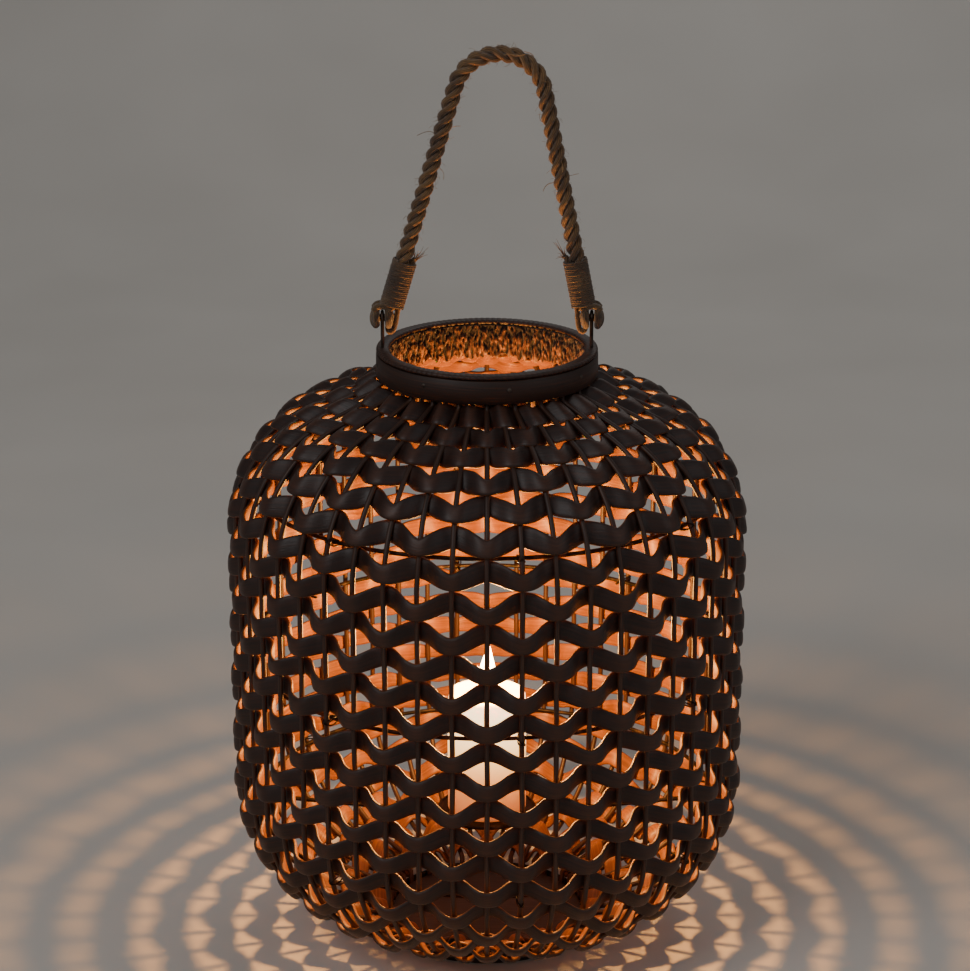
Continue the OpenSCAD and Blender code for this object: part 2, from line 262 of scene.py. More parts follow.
def frames(path, closed=False):
    """Tangents and two steady normals along a path."""
    path = np.asarray(path, float)
    if closed:
        tangent = np.roll(path, -1, 0) - np.roll(path, 1, 0)
    else:
        tangent = np.gradient(path, axis=0)
    tangent /= np.linalg.norm(tangent, axis=1)[:, None]
    start = np.cross(tangent[0], [0, 0, 1])
    if np.linalg.norm(start) < 0.3:
        start = np.cross(tangent[0], [0, 1, 0])
    normals = [start / np.linalg.norm(start)]
    for t in tangent[1:]:
        n = normals[-1] - t * np.dot(normals[-1], t)
        normals.append(n / np.linalg.norm(n))
    normals = np.array(normals)
    return tangent, normals, np.cross(tangent, normals)


def tube(path, radius, sides=12, closed=False, turn=0.0):
    """A round tube along a path. radius may vary; UVs are in metres along and round it."""
    path = np.asarray(path, float)
    _, normal, side = frames(path, closed)
    radius = np.broadcast_to(radius, len(path))
    length = np.concatenate([[0], np.cumsum(np.linalg.norm(np.diff(path, axis=0), axis=1))])
    angle = np.arange(sides) * 2 * math.pi / sides
    turned = angle[None, :] + turn * length[:, None]
    ring = np.cos(turned)[..., None] * normal[:, None] + np.sin(turned)[..., None] * side[:, None]
    points = path[:, None] + ring * radius[:, None, None]
    u = np.append(length, length[-1] * 2 - length[-2])
    return grid(points, closed, True, u, np.arange(sides + 1) * 2 * math.pi * radius.mean() / sides)


def smooth(points, per):
    """A Catmull-Rom curve through given points."""
    p = np.asarray(points, float)
    p = np.concatenate([[2 * p[0] - p[1]], p, [2 * p[-1] - p[-2]]])
    out = []
    for i in range(1, len(p) - 2):
        for t in np.arange(per) / per:
            a, b, c, d = p[i - 1:i + 3]
            square = (2 * a - 5 * b + 4 * c - d) * t ** 2
            cube = (3 * b - a - 3 * c + d) * t ** 3
            out.append(0.5 * (2 * b + (c - a) * t + square + cube))
    out.append(p[-2])
    return np.array(out)


def spun(r, angle, z):
    """Points at radius r and height z, one row for each angle round the axis."""
    return np.stack([r * np.cos(angle)[:, None], r * np.sin(angle)[:, None], z], -1)


def lathe(profile, sides, wobble=None):
    """A turned shape from (radius, height) points, closed on itself. UVs are in metres."""
    profile = np.asarray(profile, float)
    angle = np.arange(sides) * 2 * math.pi / sides
    r = np.repeat(profile[None, :, 0], sides, 0)
    z = np.repeat(profile[None, :, 1], sides, 0)
    if wobble:
        r, z = wobble(angle[:, None], r, z)
    steps = np.linalg.norm(np.diff(np.vstack([profile, profile[:1]]), axis=0), axis=1)
    run = np.concatenate([[0], np.cumsum(steps)])
    turn = np.arange(sides + 1) * 2 * math.pi * profile[:, 0].max() / sides
    return grid(spun(r, angle, z), True, True, turn, run)


def filled(wave, power):
    """A wave with fuller crests, which turns a circle into a soft-cornered box."""
    return np.sign(wave) * np.abs(wave) ** power


def ripple(angle, seed, waves=(2, 3, 5, 8, 13)):
    """Smooth noise round a ring, about -1 to 1, the same each run."""
    rng = np.random.default_rng(seed)
    total = sum(rng.uniform(0.4,
                            1.0) / math.sqrt(w) * np.sin(w * angle + rng.uniform(0, 6.28)) for w in waves)
    return total / 1.2


def scatter(place, count, seed):
    """A random value at each whole number round a ring, -1 to 1, eased between them."""
    values = np.random.default_rng(seed).uniform(-1, 1, count)
    at = np.floor(place).astype(int)
    part = place - at
    part = part * part * (3 - 2 * part)
    return values[at % count] * (1 - part) + values[(at + 1) % count] * part


def brushed(seed, shape, spread):
    """Noise drawn out into soft streaks, mean 0 and deviation 1, that joins up at its edges."""
    noise = np.random.default_rng(seed).standard_normal(shape)
    rate = [np.fft.fftfreq(n) * 2 * math.pi * s for n, s in zip(shape, spread)]
    soft = np.exp(-0.5 * (rate[0][:, None] ** 2 + rate[1][None, :] ** 2))
    drawn = np.fft.ifft2(np.fft.fft2(noise) * soft).real
    return (drawn - drawn.mean()) / drawn.std()


# ---------------------------------------------------------------- wall shape

class Wall:
    """The line a stake follows, from the collar to the foot, from the frame's own sizes."""

    def __init__(self, w):
        self.off = w.stake_d / 2 + GAP + REED
        self.side = max(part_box(f"weft_{k:02d}")[1][0] for k in range(9, 17)) - self.off
        low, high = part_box("eye_right")
        self.stake_r = (low[0] + high[0]) / 2
        self.neck_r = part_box("collar_band")[1][0]
        self.neck_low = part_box("collar_band")[0][2]
        self.foot_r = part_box("foot_band")[1][0]
        self.foot_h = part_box("foot_band")[1][2]
        self.neck = (self.stake_r, self.neck_low - self.off + REED / 2)
        self.foot = (self.foot_r - (self.neck_r - self.stake_r), self.foot_h + self.off + FOOT_GAP)
        self.uq, self.lq = w.upper_r - self.off, w.lower_r - self.off
        self.uc = (self.side - self.uq, self.neck[1] - w.upper_drop)
        self.lc = (self.side - self.lq, self.foot[1] + w.lower_drop)
        self.slope, l1 = self.tangent(self.neck, self.uc, self.uq, 1)
        self.base, l5 = self.tangent(self.foot, self.lc, self.lq, -1)
        self.s1 = l1
        self.s2 = self.s1 + self.uq * (math.pi / 2 + self.slope)
        self.s3 = self.s2 + self.uc[1] - self.lc[1]
        self.s4 = self.s3 + self.lq * (math.pi / 2 - self.base)
        self.s5 = self.s4 + l5
        self.ease = w.ease

    @staticmethod
    def tangent(p, c, r, side):
        """Direction and length of the line from a point that just touches a circle."""
        far = math.dist(p, c)
        return math.atan2(c[1] - p[1], c[0] - p[0]) + side * math.asin(r / far), math.sqrt(far * far - r * r)

    def angle(self, s):
        """Direction of the wall at length s: 0 is level and outwards, a quarter turn down is upright."""
        s = np.asarray(s, float)
        return np.select(
            [s < self.s1, s < self.s2, s < self.s3, s < self.s4],
            [self.slope + 0 * s, self.slope - (s - self.s1) / self.uq, -math.pi / 2 + 0 * s,
             -math.pi / 2 - (s - self.s3) / self.lq], self.base - math.pi)

    def at(self, s, off=0.0):
        """(radius, height) at length s, off the wall towards the outside."""
        s = np.asarray(s, float)
        a = self.angle(s)
        cases = [s < self.s1, s < self.s2, s < self.s3, s < self.s4]
        r = np.select(cases, [self.neck[0] + s * math.cos(self.slope), self.uc[0] - self.uq * np.sin(a),
                              self.side + 0 * s, self.lc[0] - self.lq * np.sin(a)],
                      self.foot[0] + (self.s5 - s) * math.cos(self.base))
        z = np.select(cases, [self.neck[1] + s * math.sin(self.slope), self.uc[1] + self.uq * np.cos(a),
                              self.uc[1] - (s - self.s2), self.lc[1] + self.lq * np.cos(a)],
                      self.foot[1] + (self.s5 - s) * math.sin(self.base))
        return r - off * np.sin(a), z + off * np.cos(a)

    def row(self, k):
        """Length along the wall at the lower edge of row k."""
        return self.s5 * k / WEFT_ROWS + self.ease * math.sin(math.pi * k / WEFT_ROWS) ** 2


# ---------------------------------------------------------------- materials

def surface(name):
    """A new material with its tree, its shader and the place on the object."""
    material = bpy.data.materials.new(name)
    material.use_nodes = True
    tree = material.node_tree
    place = add(tree, "ShaderNodeTexCoord").outputs["Object"]
    return material, tree, tree.nodes["Principled BSDF"], place


def stained_rattan(w):
    """Rattan peel, dyed dark and lightly oiled: fine long streaks, rubbed crests, a paler face inside."""
    material, tree, shader, place = surface("stained rattan")
    uv = add(tree, "ShaderNodeUVMap", uv_map="UVMap").outputs[0]
    # Fibres are about 0.3 mm wide and 60 mm long; drawn at 0.9 mm so that they show.
    streaks = add(tree, "ShaderNodeMapping", {"Vector": uv, "Scale": (16, 1100, 1)}).outputs[0]
    fibre = add(tree, "ShaderNodeTexNoise",
                {"Vector": streaks, "Scale": 1.0, "Detail": 5, "Roughness": 0.65}).outputs[0]
    blotch = add(tree, "ShaderNodeTexNoise", {"Vector": place, "Scale": 34.0, "Detail": 3}).outputs[0]
    pores = add(tree, "ShaderNodeMapping", {"Vector": uv, "Scale": (220, 2600, 1)}).outputs[0]
    pore = add(tree, "ShaderNodeTexNoise", {"Vector": pores, "Scale": 1.0, "Detail": 2}).outputs[0]
    stain = add(tree, "ShaderNodeValToRGB", {"Fac": fibre},
                [(0.28, "#180904"), (0.5, w.outer), (0.74, "#42200E")]).outputs["Color"]
    tone = add(tree, "ShaderNodeValToRGB", {"Fac": blotch},
               [(0.3, "#B9A99C"), (0.7, "#FFFFFF")]).outputs["Color"]
    dyed = add(tree, "ShaderNodeMix", {0: 0.8, 6: stain, 7: tone}, data_type="RGBA",
               blend_type="MULTIPLY").outputs[2]
    crest = add(tree, "ShaderNodeAttribute", attribute_name="crest").outputs["Fac"]
    rub = add(tree, "ShaderNodeMath", {0: crest, 1: fibre}, operation="MULTIPLY").outputs[0]
    rubbed = add(tree, "ShaderNodeMix", {0: rub, 6: dyed, 7: linear(w.worn)}, data_type="RGBA").outputs[2]
    pale = add(tree, "ShaderNodeValToRGB", {"Fac": fibre},
               [(0.25, "#5C3214"), (0.55, w.inner), (0.8, "#AF7A3C")]).outputs["Color"]
    inner = add(tree, "ShaderNodeAttribute", attribute_name="inner").outputs["Fac"]
    faced = add(tree, "ShaderNodeMix", {0: inner, 6: rubbed, 7: pale}, data_type="RGBA").outputs[2]
    rough = add(tree, "ShaderNodeMapRange", {"Value": blotch, "To Min": 0.4, "To Max": 0.62}).outputs[0]
    height = add(tree, "ShaderNodeMath", {0: fibre, 1: pore}, operation="ADD").outputs[0]
    bump = add(tree, "ShaderNodeBump", {"Height": height, "Strength": 0.35, "Distance": 0.0006}).outputs[0]
    feed(tree, shader, {"Base Color": faced, "Roughness": rough, "Normal": bump, "IOR": 1.5,
                        "Coat Weight": 0.12, "Coat Roughness": 0.35})
    return material


def streaked_wood(name, dark, mid, light, along="UV", rough=(0.45, 0.65), coat=0.08):
    """Split or turned wood, stained: streaks along the grain, pores and a soft sheen."""
    material, tree, shader, place = surface(name)
    # Grain lines are about 0.5 mm apart; drawn at 1.1 to 1.4 mm so that they show.
    if along == "UV":
        where = add(tree, "ShaderNodeUVMap", uv_map="UVMap").outputs[0]
        scale = (14, 900, 1)
    else:
        where, scale = place, (30, 700, 700)
    grain = add(tree, "ShaderNodeMapping", {"Vector": where, "Scale": scale}).outputs[0]
    streak = add(tree, "ShaderNodeTexNoise", {"Vector": grain, "Scale": 1.0, "Detail": 6, "Roughness": 0.6,
                                              "Distortion": 0.4}).outputs[0]
    cloud = add(tree, "ShaderNodeTexNoise", {"Vector": place, "Scale": 26.0, "Detail": 4}).outputs[0]
    colour = add(tree, "ShaderNodeValToRGB", {"Fac": streak},
                 [(0.3, dark), (0.52, mid), (0.76, light)]).outputs["Color"]
    roughness = add(tree, "ShaderNodeMapRange",
                    {"Value": cloud, "To Min": rough[0], "To Max": rough[1]}).outputs[0]
    bump = add(tree, "ShaderNodeBump", {"Height": streak, "Strength": 0.3, "Distance": 0.0005}).outputs[0]
    feed(tree, shader, {"Base Color": colour, "Roughness": roughness, "Normal": bump, "IOR": 1.5,
                        "Coat Weight": coat, "Coat Roughness": 0.4})
    return material


def oxidised_iron(name, dark="#1A1613", mid="#332A24", rust="#5A3620"):
    """Annealed iron wire, blackened by heat, with brown spots where the scale has rubbed off."""
    material, tree, shader, place = surface(name)
    # Rubbed spots are about 8 mm across; the grit of the scale is drawn at 0.7 mm so that it shows.
    patch = add(tree, "ShaderNodeTexNoise",
                {"Vector": place, "Scale": 130.0, "Detail": 5, "Roughness": 0.6}).outputs[0]
    grit = add(tree, "ShaderNodeTexNoise", {"Vector": place, "Scale": 1400.0, "Detail": 2}).outputs[0]
    colour = add(tree, "ShaderNodeValToRGB", {"Fac": patch},
                 [(0.35, dark), (0.55, mid), (0.78, rust)]).outputs["Color"]
    rough = add(tree, "ShaderNodeMapRange", {"Value": patch, "To Min": 0.38, "To Max": 0.75}).outputs[0]
    metal = add(tree, "ShaderNodeMapRange",
                {"Value": patch, "From Min": 0.5, "From Max": 0.7, "To Min": 0.85, "To Max": 0.1}).outputs[0]
    bump = add(tree, "ShaderNodeBump", {"Height": grit, "Strength": 0.25, "Distance": 0.0002}).outputs[0]
    feed(tree, shader, {"Base Color": colour, "Roughness": rough, "Metallic": metal, "Normal": bump})
    return material


def laid_jute(name, dark, light, yarn, lean):
    """Twisted jute: yarns wind round each strand, with painted shade in the grooves and dry pale fibres on
    top.
    """
    material, tree, shader, place = surface(name)
    uv = add(tree, "ShaderNodeUVMap", uv_map="UVMap").outputs[0]
    split = add(tree, "ShaderNodeSeparateXYZ", {0: uv})
    along = add(tree, "ShaderNodeMath", {0: split.outputs[0], 1: lean}, operation="MULTIPLY").outputs[0]
    wound = add(tree, "ShaderNodeMath", {0: split.outputs[1], 1: along}, operation="ADD").outputs[0]
    turns = add(tree, "ShaderNodeMath", {0: wound, 1: 2 * math.pi / yarn}, operation="MULTIPLY").outputs[0]
    groove = add(tree, "ShaderNodeMath", {0: turns}, operation="SINE").outputs[0]
    fibres = add(tree, "ShaderNodeCombineXYZ", {0: split.outputs[0], 1: wound})
    # Fibres are about 14 mm long; drawn 0.4 mm wide so that they show. Dry patches are about 17 mm across.
    fine = add(tree, "ShaderNodeMapping", {"Vector": fibres.outputs[0], "Scale": (70, 2600, 1)}).outputs[0]
    hair = add(tree, "ShaderNodeTexNoise",
               {"Vector": fine, "Scale": 1.0, "Detail": 5, "Roughness": 0.7}).outputs[0]
    patch = add(tree, "ShaderNodeTexNoise", {"Vector": place, "Scale": 60.0, "Detail": 3}).outputs[0]
    # The grooves get painted shade: the yarn wave darkens the colour as well as setting the bump.
    groove_shade_height = add(tree, "ShaderNodeMath", {0: groove, 1: 0.16, 2: hair}, operation="MULTIPLY_ADD").outputs[0]
    tint = add(tree, "ShaderNodeMath", {0: patch, 1: 0.5, 2: groove_shade_height}, operation="MULTIPLY_ADD").outputs[0]
    colour = add(tree, "ShaderNodeValToRGB", {"Fac": tint},
                 [(0.45, dark), (0.78, light), (0.98, "#94703F")]).outputs["Color"]
    bump = add(tree, "ShaderNodeBump", {"Height": groove_shade_height, "Strength": 0.8, "Distance": 0.0007}).outputs[0]
    feed(tree, shader, {"Base Color": colour, "Normal": bump, "Roughness": 0.88, "Sheen Weight": 0.25,
                        "Sheen Roughness": 0.6})
    return material


def burlap(name, dark, light, low, high):
    """Brushed jute cloth: uneven upright tufts, pale slubs, painted shade in the gaps between them, and
    painted shade towards the rim.
    """
    material, tree, shader, place = surface(name)
    uv = add(tree, "ShaderNodeUVMap", uv_map="UVMap").outputs[0]
    # Slubs are about 2.4 mm wide and 5 mm tall; their fibres are drawn 1.1 mm wide so that they show.
    upright = add(tree, "ShaderNodeMapping", {"Vector": uv, "Scale": (900, 120, 1)}).outputs[0]
    fibre = add(tree, "ShaderNodeTexNoise",
                {"Vector": upright, "Scale": 1.0, "Detail": 5, "Roughness": 0.7}).outputs[0]
    slub = add(tree, "ShaderNodeMapping", {"Vector": uv, "Scale": (420, 190, 1)}).outputs[0]
    spot = add(tree, "ShaderNodeTexVoronoi", {"Vector": slub, "Scale": 1.0}).outputs["Distance"]
    # The hollows between the tufts get painted shade: hollow_shade darkens the colour there.
    hollow_shade = add(tree, "ShaderNodeAttribute", attribute_name="hollow_shade").outputs["Fac"]
    raised = add(tree, "ShaderNodeMath", {0: spot, 1: -0.35, 2: fibre}, operation="MULTIPLY_ADD").outputs[0]
    tufts_with_shade = add(tree, "ShaderNodeMath", {0: hollow_shade, 1: -0.5, 2: raised},
                    operation="MULTIPLY_ADD").outputs[0]
    # Painted shade towards the top: top_shade darkens the colour as the height rises to the rim.
    level = add(tree, "ShaderNodeSeparateXYZ", {0: place}).outputs[2]
    top_shade = add(tree, "ShaderNodeMapRange",
               {"Value": level, "From Min": low, "From Max": high, "To Min": 0.2, "To Max": -0.14}).outputs[0]
    tint = add(tree, "ShaderNodeMath", {0: tufts_with_shade, 1: top_shade}, operation="ADD").outputs[0]
    colour = add(tree, "ShaderNodeValToRGB", {"Fac": tint},
                 [(0.0, "#140703"), (0.2, dark), (0.42, light), (0.62, "#C4935A")]).outputs["Color"]
    bump = add(tree, "ShaderNodeBump", {"Height": raised, "Strength": 0.9, "Distance": 0.0008}).outputs[0]
    feed(tree, shader, {"Base Color": colour, "Normal": bump, "Roughness": 0.9, "Sheen Weight": 0.2})
    return material


def lit_wax(name, low, high):
    """Ivory paraffin: soft and waxy, glowing from the flame downwards."""
    material, tree, shader, place = surface(name)
    height = add(tree, "ShaderNodeSeparateXYZ", {0: place}).outputs[2]
    glow = add(tree, "ShaderNodeMapRange", {"Value": height, "From Min": low, "From Max": high},
               interpolation_type="SMOOTHSTEP").outputs[0]
    # Cooling marks in poured wax are about 11 mm across.
    mottle = add(tree, "ShaderNodeTexNoise", {"Vector": place, "Scale": 90.0, "Detail": 4}).outputs[0]
    colour = add(tree, "ShaderNodeValToRGB", {"Fac": mottle},
                 [(0.3, "#E9D3A4"), (0.7, "#F6E8C8")]).outputs["Color"]
    shine = add(tree, "ShaderNodeValToRGB", {"Fac": glow},
                [(0.0, "#A8480F"), (0.3, "#E8893A"), (0.6, "#FFC877"), (1.0, "#FFE3AC")]).outputs["Color"]
    power = add(tree, "ShaderNodeMapRange", {"Value": glow, "To Min": 0.8, "To Max": 3.4}).outputs[0]
    bump = add(tree, "ShaderNodeBump", {"Height": mottle, "Strength": 0.12, "Distance": 0.001}).outputs[0]
    feed(tree, shader, {"Base Color": colour, "Emission Color": shine, "Emission Strength": power,
                        "Normal": bump, "Roughness": 0.42, "Subsurface Weight": 0.3,
                        "Subsurface Radius": (1.0, 0.5, 0.2), "Subsurface Scale": 0.01, "IOR": 1.44})
    return material


def flame_glow(low, high):
    """Burning wax vapour: dim orange at the wick, white-gold in the middle, orange at the tip."""
    material, tree, shader, place = surface("candle flame")
    height = add(tree, "ShaderNodeSeparateXYZ", {0: place}).outputs[2]
    rise = add(tree, "ShaderNodeMapRange", {"Value": height, "From Min": low, "From Max": high}).outputs[0]
    colour = add(tree, "ShaderNodeValToRGB", {"Fac": rise},
                 [(0.0, "#C46A2A"), (0.25, "#FFD79A"), (0.6, "#FFEFC4"), (1.0, "#FFA040")]).outputs["Color"]
    feed(tree, shader, {"Emission Color": colour, "Base Color": colour, "Emission Strength": 14.0,
                        "Roughness": 1.0})
    return material


def charred_cotton():
    """Braided wick, burnt black with an ash-grey bloom."""
    material, tree, shader, place = surface("charred cotton wick")
    # The bumps of the braid are about 1.1 mm apart.
    ash = add(tree, "ShaderNodeTexNoise", {"Vector": place, "Scale": 900.0, "Detail": 4}).outputs[0]
    colour = add(tree, "ShaderNodeValToRGB", {"Fac": ash},
                 [(0.4, "#0B0807"), (0.75, "#4A4038")]).outputs["Color"]
    bump = add(tree, "ShaderNodeBump", {"Height": ash, "Strength": 0.7, "Distance": 0.0004}).outputs[0]
    feed(tree, shader, {"Base Color": colour, "Normal": bump, "Roughness": 0.95})
    return material


# ---------------------------------------------------------------- geometry trees

def new_tree(name, sockets):
    """An empty geometry tree with named inputs: (name, type, default)."""
    tree = bpy.data.node_groups.new(name, "GeometryNodeTree")
    tree.interface.new_socket("Geometry", in_out="INPUT", socket_type="NodeSocketGeometry")
    for label, kind, default in sockets:
        socket = tree.interface.new_socket(label, in_out="INPUT", socket_type="NodeSocket" + kind)
        if default is not None:
            socket.default_value = default
    tree.interface.new_socket("Geometry", in_out="OUTPUT", socket_type="NodeSocketGeometry")
    return tree, add(tree, "NodeGroupInput").outputs


def finish_tree(tree, geometry, material):
    """Realises the instances, sets the material and ends the tree."""
    real = add(tree, "GeometryNodeRealizeInstances", {0: geometry}).outputs[0]
    painted = add(tree, "GeometryNodeSetMaterial", {"Geometry": real, "Material": material}).outputs[0]
    add(tree, "NodeGroupOutput", {0: painted})


def run_tree(name, source, tree, values):
    """Runs a tree on a source object and keeps the result as a plain mesh."""
    modifier = source.modifiers.new("Shape", "NODES")
    modifier.node_group = tree
    for item in tree.interface.items_tree:
        if item.in_out == "INPUT" and item.name in values:
            modifier[item.identifier] = values[item.name]
    bpy.context.view_layer.update()
    evaluated = source.evaluated_get(bpy.context.evaluated_depsgraph_get())
    mesh = bpy.data.meshes.new_from_object(evaluated)
    mesh.name = name
    if not mesh.vertices:
        raise RuntimeError(f"{name}: the geometry tree gave nothing")
    mesh.shade_smooth()
    source.modifiers.clear()
    bpy.data.objects.remove(source)
    return linked(name, mesh)


def wire_source(points, closed=False):
    """A mesh of edges along points, for a tree to turn into a curve."""
    n = len(points)
    edges = [(i, i + 1) for i in range(n - 1)] + ([(n - 1, 0)] if closed else [])
    mesh = bpy.data.meshes.new("source")
    mesh.from_pydata([list(map(float, p)) for p in points], edges, [])
    return linked("source", mesh)


def swept_uv(tree, curve, profile):
    """Curve to Mesh with UVs in metres: along the curve and round the profile."""
    length = add(tree, "GeometryNodeSplineParameter").outputs["Length"]
    run = add(tree, "GeometryNodeCaptureAttribute", {"Geometry": curve}, domain="POINT")
    run.capture_items.new("FLOAT", "Along")
    tree.links.new(length, run.inputs[1])
    turn = add(tree, "GeometryNodeCaptureAttribute", {"Geometry": profile}, domain="POINT")
    turn.capture_items.new("FLOAT", "Round")
    tree.links.new(length, turn.inputs[1])
    mesh = add(tree, "GeometryNodeCurveToMesh", {"Curve": run.outputs[0], "Profile Curve": turn.outputs[0],
                                                 "Fill Caps": True}).outputs[0]
    pair = add(tree, "ShaderNodeCombineXYZ", {0: run.outputs[1], 1: turn.outputs[1]}).outputs[0]
    return add(tree, "GeometryNodeStoreNamedAttribute", {"Geometry": mesh, "Name": "UVMap", "Value": pair},
               data_type="FLOAT2", domain="CORNER").outputs[0]


def stake_tree(material):
    """One upright copied round the axis, each a little out of true."""
    tree, given = new_tree("Stakes", [("Count", "Int", 48), ("Radius", "Float", 0.002), ("Sides", "Int", 10),
                                      ("Jitter", "Float", 0.001), ("Seed", "Int", 7)])
    line = add(tree, "GeometryNodeMeshToCurve", {0: given[0]}).outputs[0]
    copies = add(tree, "GeometryNodeDuplicateElements", {"Geometry": line, "Amount": given[1]},
                 domain="SPLINE")
    step = add(tree, "ShaderNodeMath", {0: 2 * math.pi, 1: given[1]}, operation="DIVIDE").outputs[0]
    turn = add(tree, "ShaderNodeMath", {0: copies.outputs[1], 1: step}, operation="MULTIPLY").outputs[0]
    at = add(tree, "GeometryNodeInputPosition").outputs[0]
    turned = add(tree, "ShaderNodeVectorRotate", {"Vector": at, "Angle": turn},
                 rotation_type="Z_AXIS").outputs[0]
    placed = add(tree, "GeometryNodeSetPosition",
                 {"Geometry": copies.outputs[0], "Position": turned}).outputs[0]
    seed = add(tree, "ShaderNodeMath", {0: given[5], 1: 3.7}, operation="MULTIPLY").outputs[0]
    here = add(tree, "GeometryNodeInputPosition").outputs[0]
    noise = add(tree, "ShaderNodeTexNoise", {"Vector": here, "W": seed, "Scale": 22.0, "Detail": 1.0},
                noise_dimensions="4D").outputs["Color"]
    centred = add(tree, "ShaderNodeVectorMath", {0: noise, 1: (0.5, 0.5, 0.5)},
                  operation="SUBTRACT").outputs[0]
    shift = add(tree, "ShaderNodeVectorMath", {0: centred, "Scale": given[4]}, operation="SCALE").outputs[0]
    bent = add(tree, "GeometryNodeSetPosition", {"Geometry": placed, "Offset": shift}).outputs[0]
    ring = add(tree, "GeometryNodeCurvePrimitiveCircle",
               {"Resolution": given[3], "Radius": given[2]}).outputs[0]
    finish_tree(tree, swept_uv(tree, bent, ring), material)
    return tree


def rope_tree(material):
    """Strands laid round a path: a profile of circles that turns as it goes."""
    tree, given = new_tree("Laid rope", [("Strand radius", "Float", 0.003), ("Lay radius", "Float", 0.0034),
                                         ("Lay", "Float", 0.04), ("Strands", "Int", 3)])
    line = add(tree, "GeometryNodeMeshToCurve", {0: given[0]}).outputs[0]
    length = add(tree, "GeometryNodeSplineParameter").outputs["Length"]
    turns = add(tree, "ShaderNodeMath", {0: length, 1: given[3]}, operation="DIVIDE").outputs[0]
    tilt = add(tree, "ShaderNodeMath", {0: turns, 1: 2 * math.pi}, operation="MULTIPLY").outputs[0]
    laid = add(tree, "GeometryNodeSetCurveTilt", {"Curve": line, "Tilt": tilt}).outputs[0]
    circle = add(tree, "GeometryNodeCurvePrimitiveCircle", {"Resolution": 12, "Radius": given[1]}).outputs[0]
    copies = add(tree, "GeometryNodeDuplicateElements", {"Geometry": circle, "Amount": given[4]},
                 domain="SPLINE")
    step = add(tree, "ShaderNodeMath", {0: 2 * math.pi, 1: given[4]}, operation="DIVIDE").outputs[0]
    angle = add(tree, "ShaderNodeMath", {0: copies.outputs[1], 1: step}, operation="MULTIPLY").outputs[0]
    arm = add(tree, "ShaderNodeCombineXYZ", {0: given[2]}).outputs[0]
    spot = add(tree, "ShaderNodeVectorRotate", {"Vector": arm, "Angle": angle},
               rotation_type="Z_AXIS").outputs[0]
    strands = add(tree, "GeometryNodeSetPosition",
                  {"Geometry": copies.outputs[0], "Offset": spot}).outputs[0]
    finish_tree(tree, swept_uv(tree, laid, strands), material)
    return tree


def hair_tree(material):
    """Short stray fibres that stand off a surface."""
    tree, given = new_tree("Stray fibres", [("Density", "Float", 60000.0), ("Length", "Float", 0.006),
                                            ("Above", "Float", 0.0), ("Seed", "Int", 3)])
    at = add(tree, "GeometryNodeInputPosition").outputs[0]
    height = add(tree, "ShaderNodeSeparateXYZ", {0: at}).outputs[2]
    chosen = add(tree, "FunctionNodeCompare", {0: height, 1: given[3]}, data_type="FLOAT",
                 operation="GREATER_THAN").outputs[0]
    spread = add(tree, "GeometryNodeDistributePointsOnFaces", {"Mesh": given[0], "Selection": chosen,
                                                               "Density": given[1], "Seed": given[4]})
    bow = add(tree, "GeometryNodeCurvePrimitiveBezierSegment", {"Resolution": 5, "Start": (0, 0, 0),
              "Start Handle": (0.0, 0, 0.35), "End Handle": (0.45, 0, 0.5),
              "End": (0.9, 0.25, 0.55)}).outputs[0]
    thin = add(tree, "GeometryNodeCurvePrimitiveCircle", {"Resolution": 3, "Radius": 0.02}).outputs[0]
    hair = add(tree, "GeometryNodeCurveToMesh", {"Curve": bow, "Profile Curve": thin}).outputs[0]
    spin = add(tree, "FunctionNodeRandomValue", {2: 0.0, 3: 6.283, "Seed": given[4]},
               data_type="FLOAT").outputs[1]
    twist = add(tree, "ShaderNodeCombineXYZ", {2: spin}).outputs[0]
    euler = add(tree, "FunctionNodeEulerToRotation", {0: twist}).outputs[0]
    facing = add(tree, "FunctionNodeRotateRotation", {0: spread.outputs["Rotation"], 1: euler},
                 rotation_space="LOCAL").outputs[0]
    size = add(tree, "FunctionNodeRandomValue", {2: 0.35, 3: 1.0, "Seed": given[4]},
               data_type="FLOAT").outputs[1]
    grown = add(tree, "ShaderNodeMath", {0: size, 1: given[2]}, operation="MULTIPLY").outputs[0]
    copies = add(tree, "GeometryNodeInstanceOnPoints", {"Points": spread.outputs[0], "Instance": hair,
                                                        "Rotation": facing, "Scale": grown}).outputs[0]
    finish_tree(tree, copies, material)
    return tree


def ring_tree(material):
    """A small shape copied round the axis at even steps."""
    tree, given = new_tree("Copies round", [("Count", "Int", 8), ("Start", "Float", 0.0)])
    points = add(tree, "GeometryNodePoints", {"Count": given[1]}).outputs[0]
    index = add(tree, "GeometryNodeInputIndex").outputs[0]
    step = add(tree, "ShaderNodeMath", {0: 2 * math.pi, 1: given[1]}, operation="DIVIDE").outputs[0]
    turn = add(tree, "ShaderNodeMath", {0: index, 1: step, 2: given[2]}, operation="MULTIPLY_ADD").outputs[0]
    euler = add(tree, "ShaderNodeCombineXYZ", {2: turn}).outputs[0]
    facing = add(tree, "FunctionNodeEulerToRotation", {0: euler}).outputs[0]
    copies = add(tree, "GeometryNodeInstanceOnPoints", {"Points": points, "Instance": given[0],
                                                        "Rotation": facing}).outputs[0]
    finish_tree(tree, copies, material)
    return tree


# ---------------------------------------------------------------- pieces

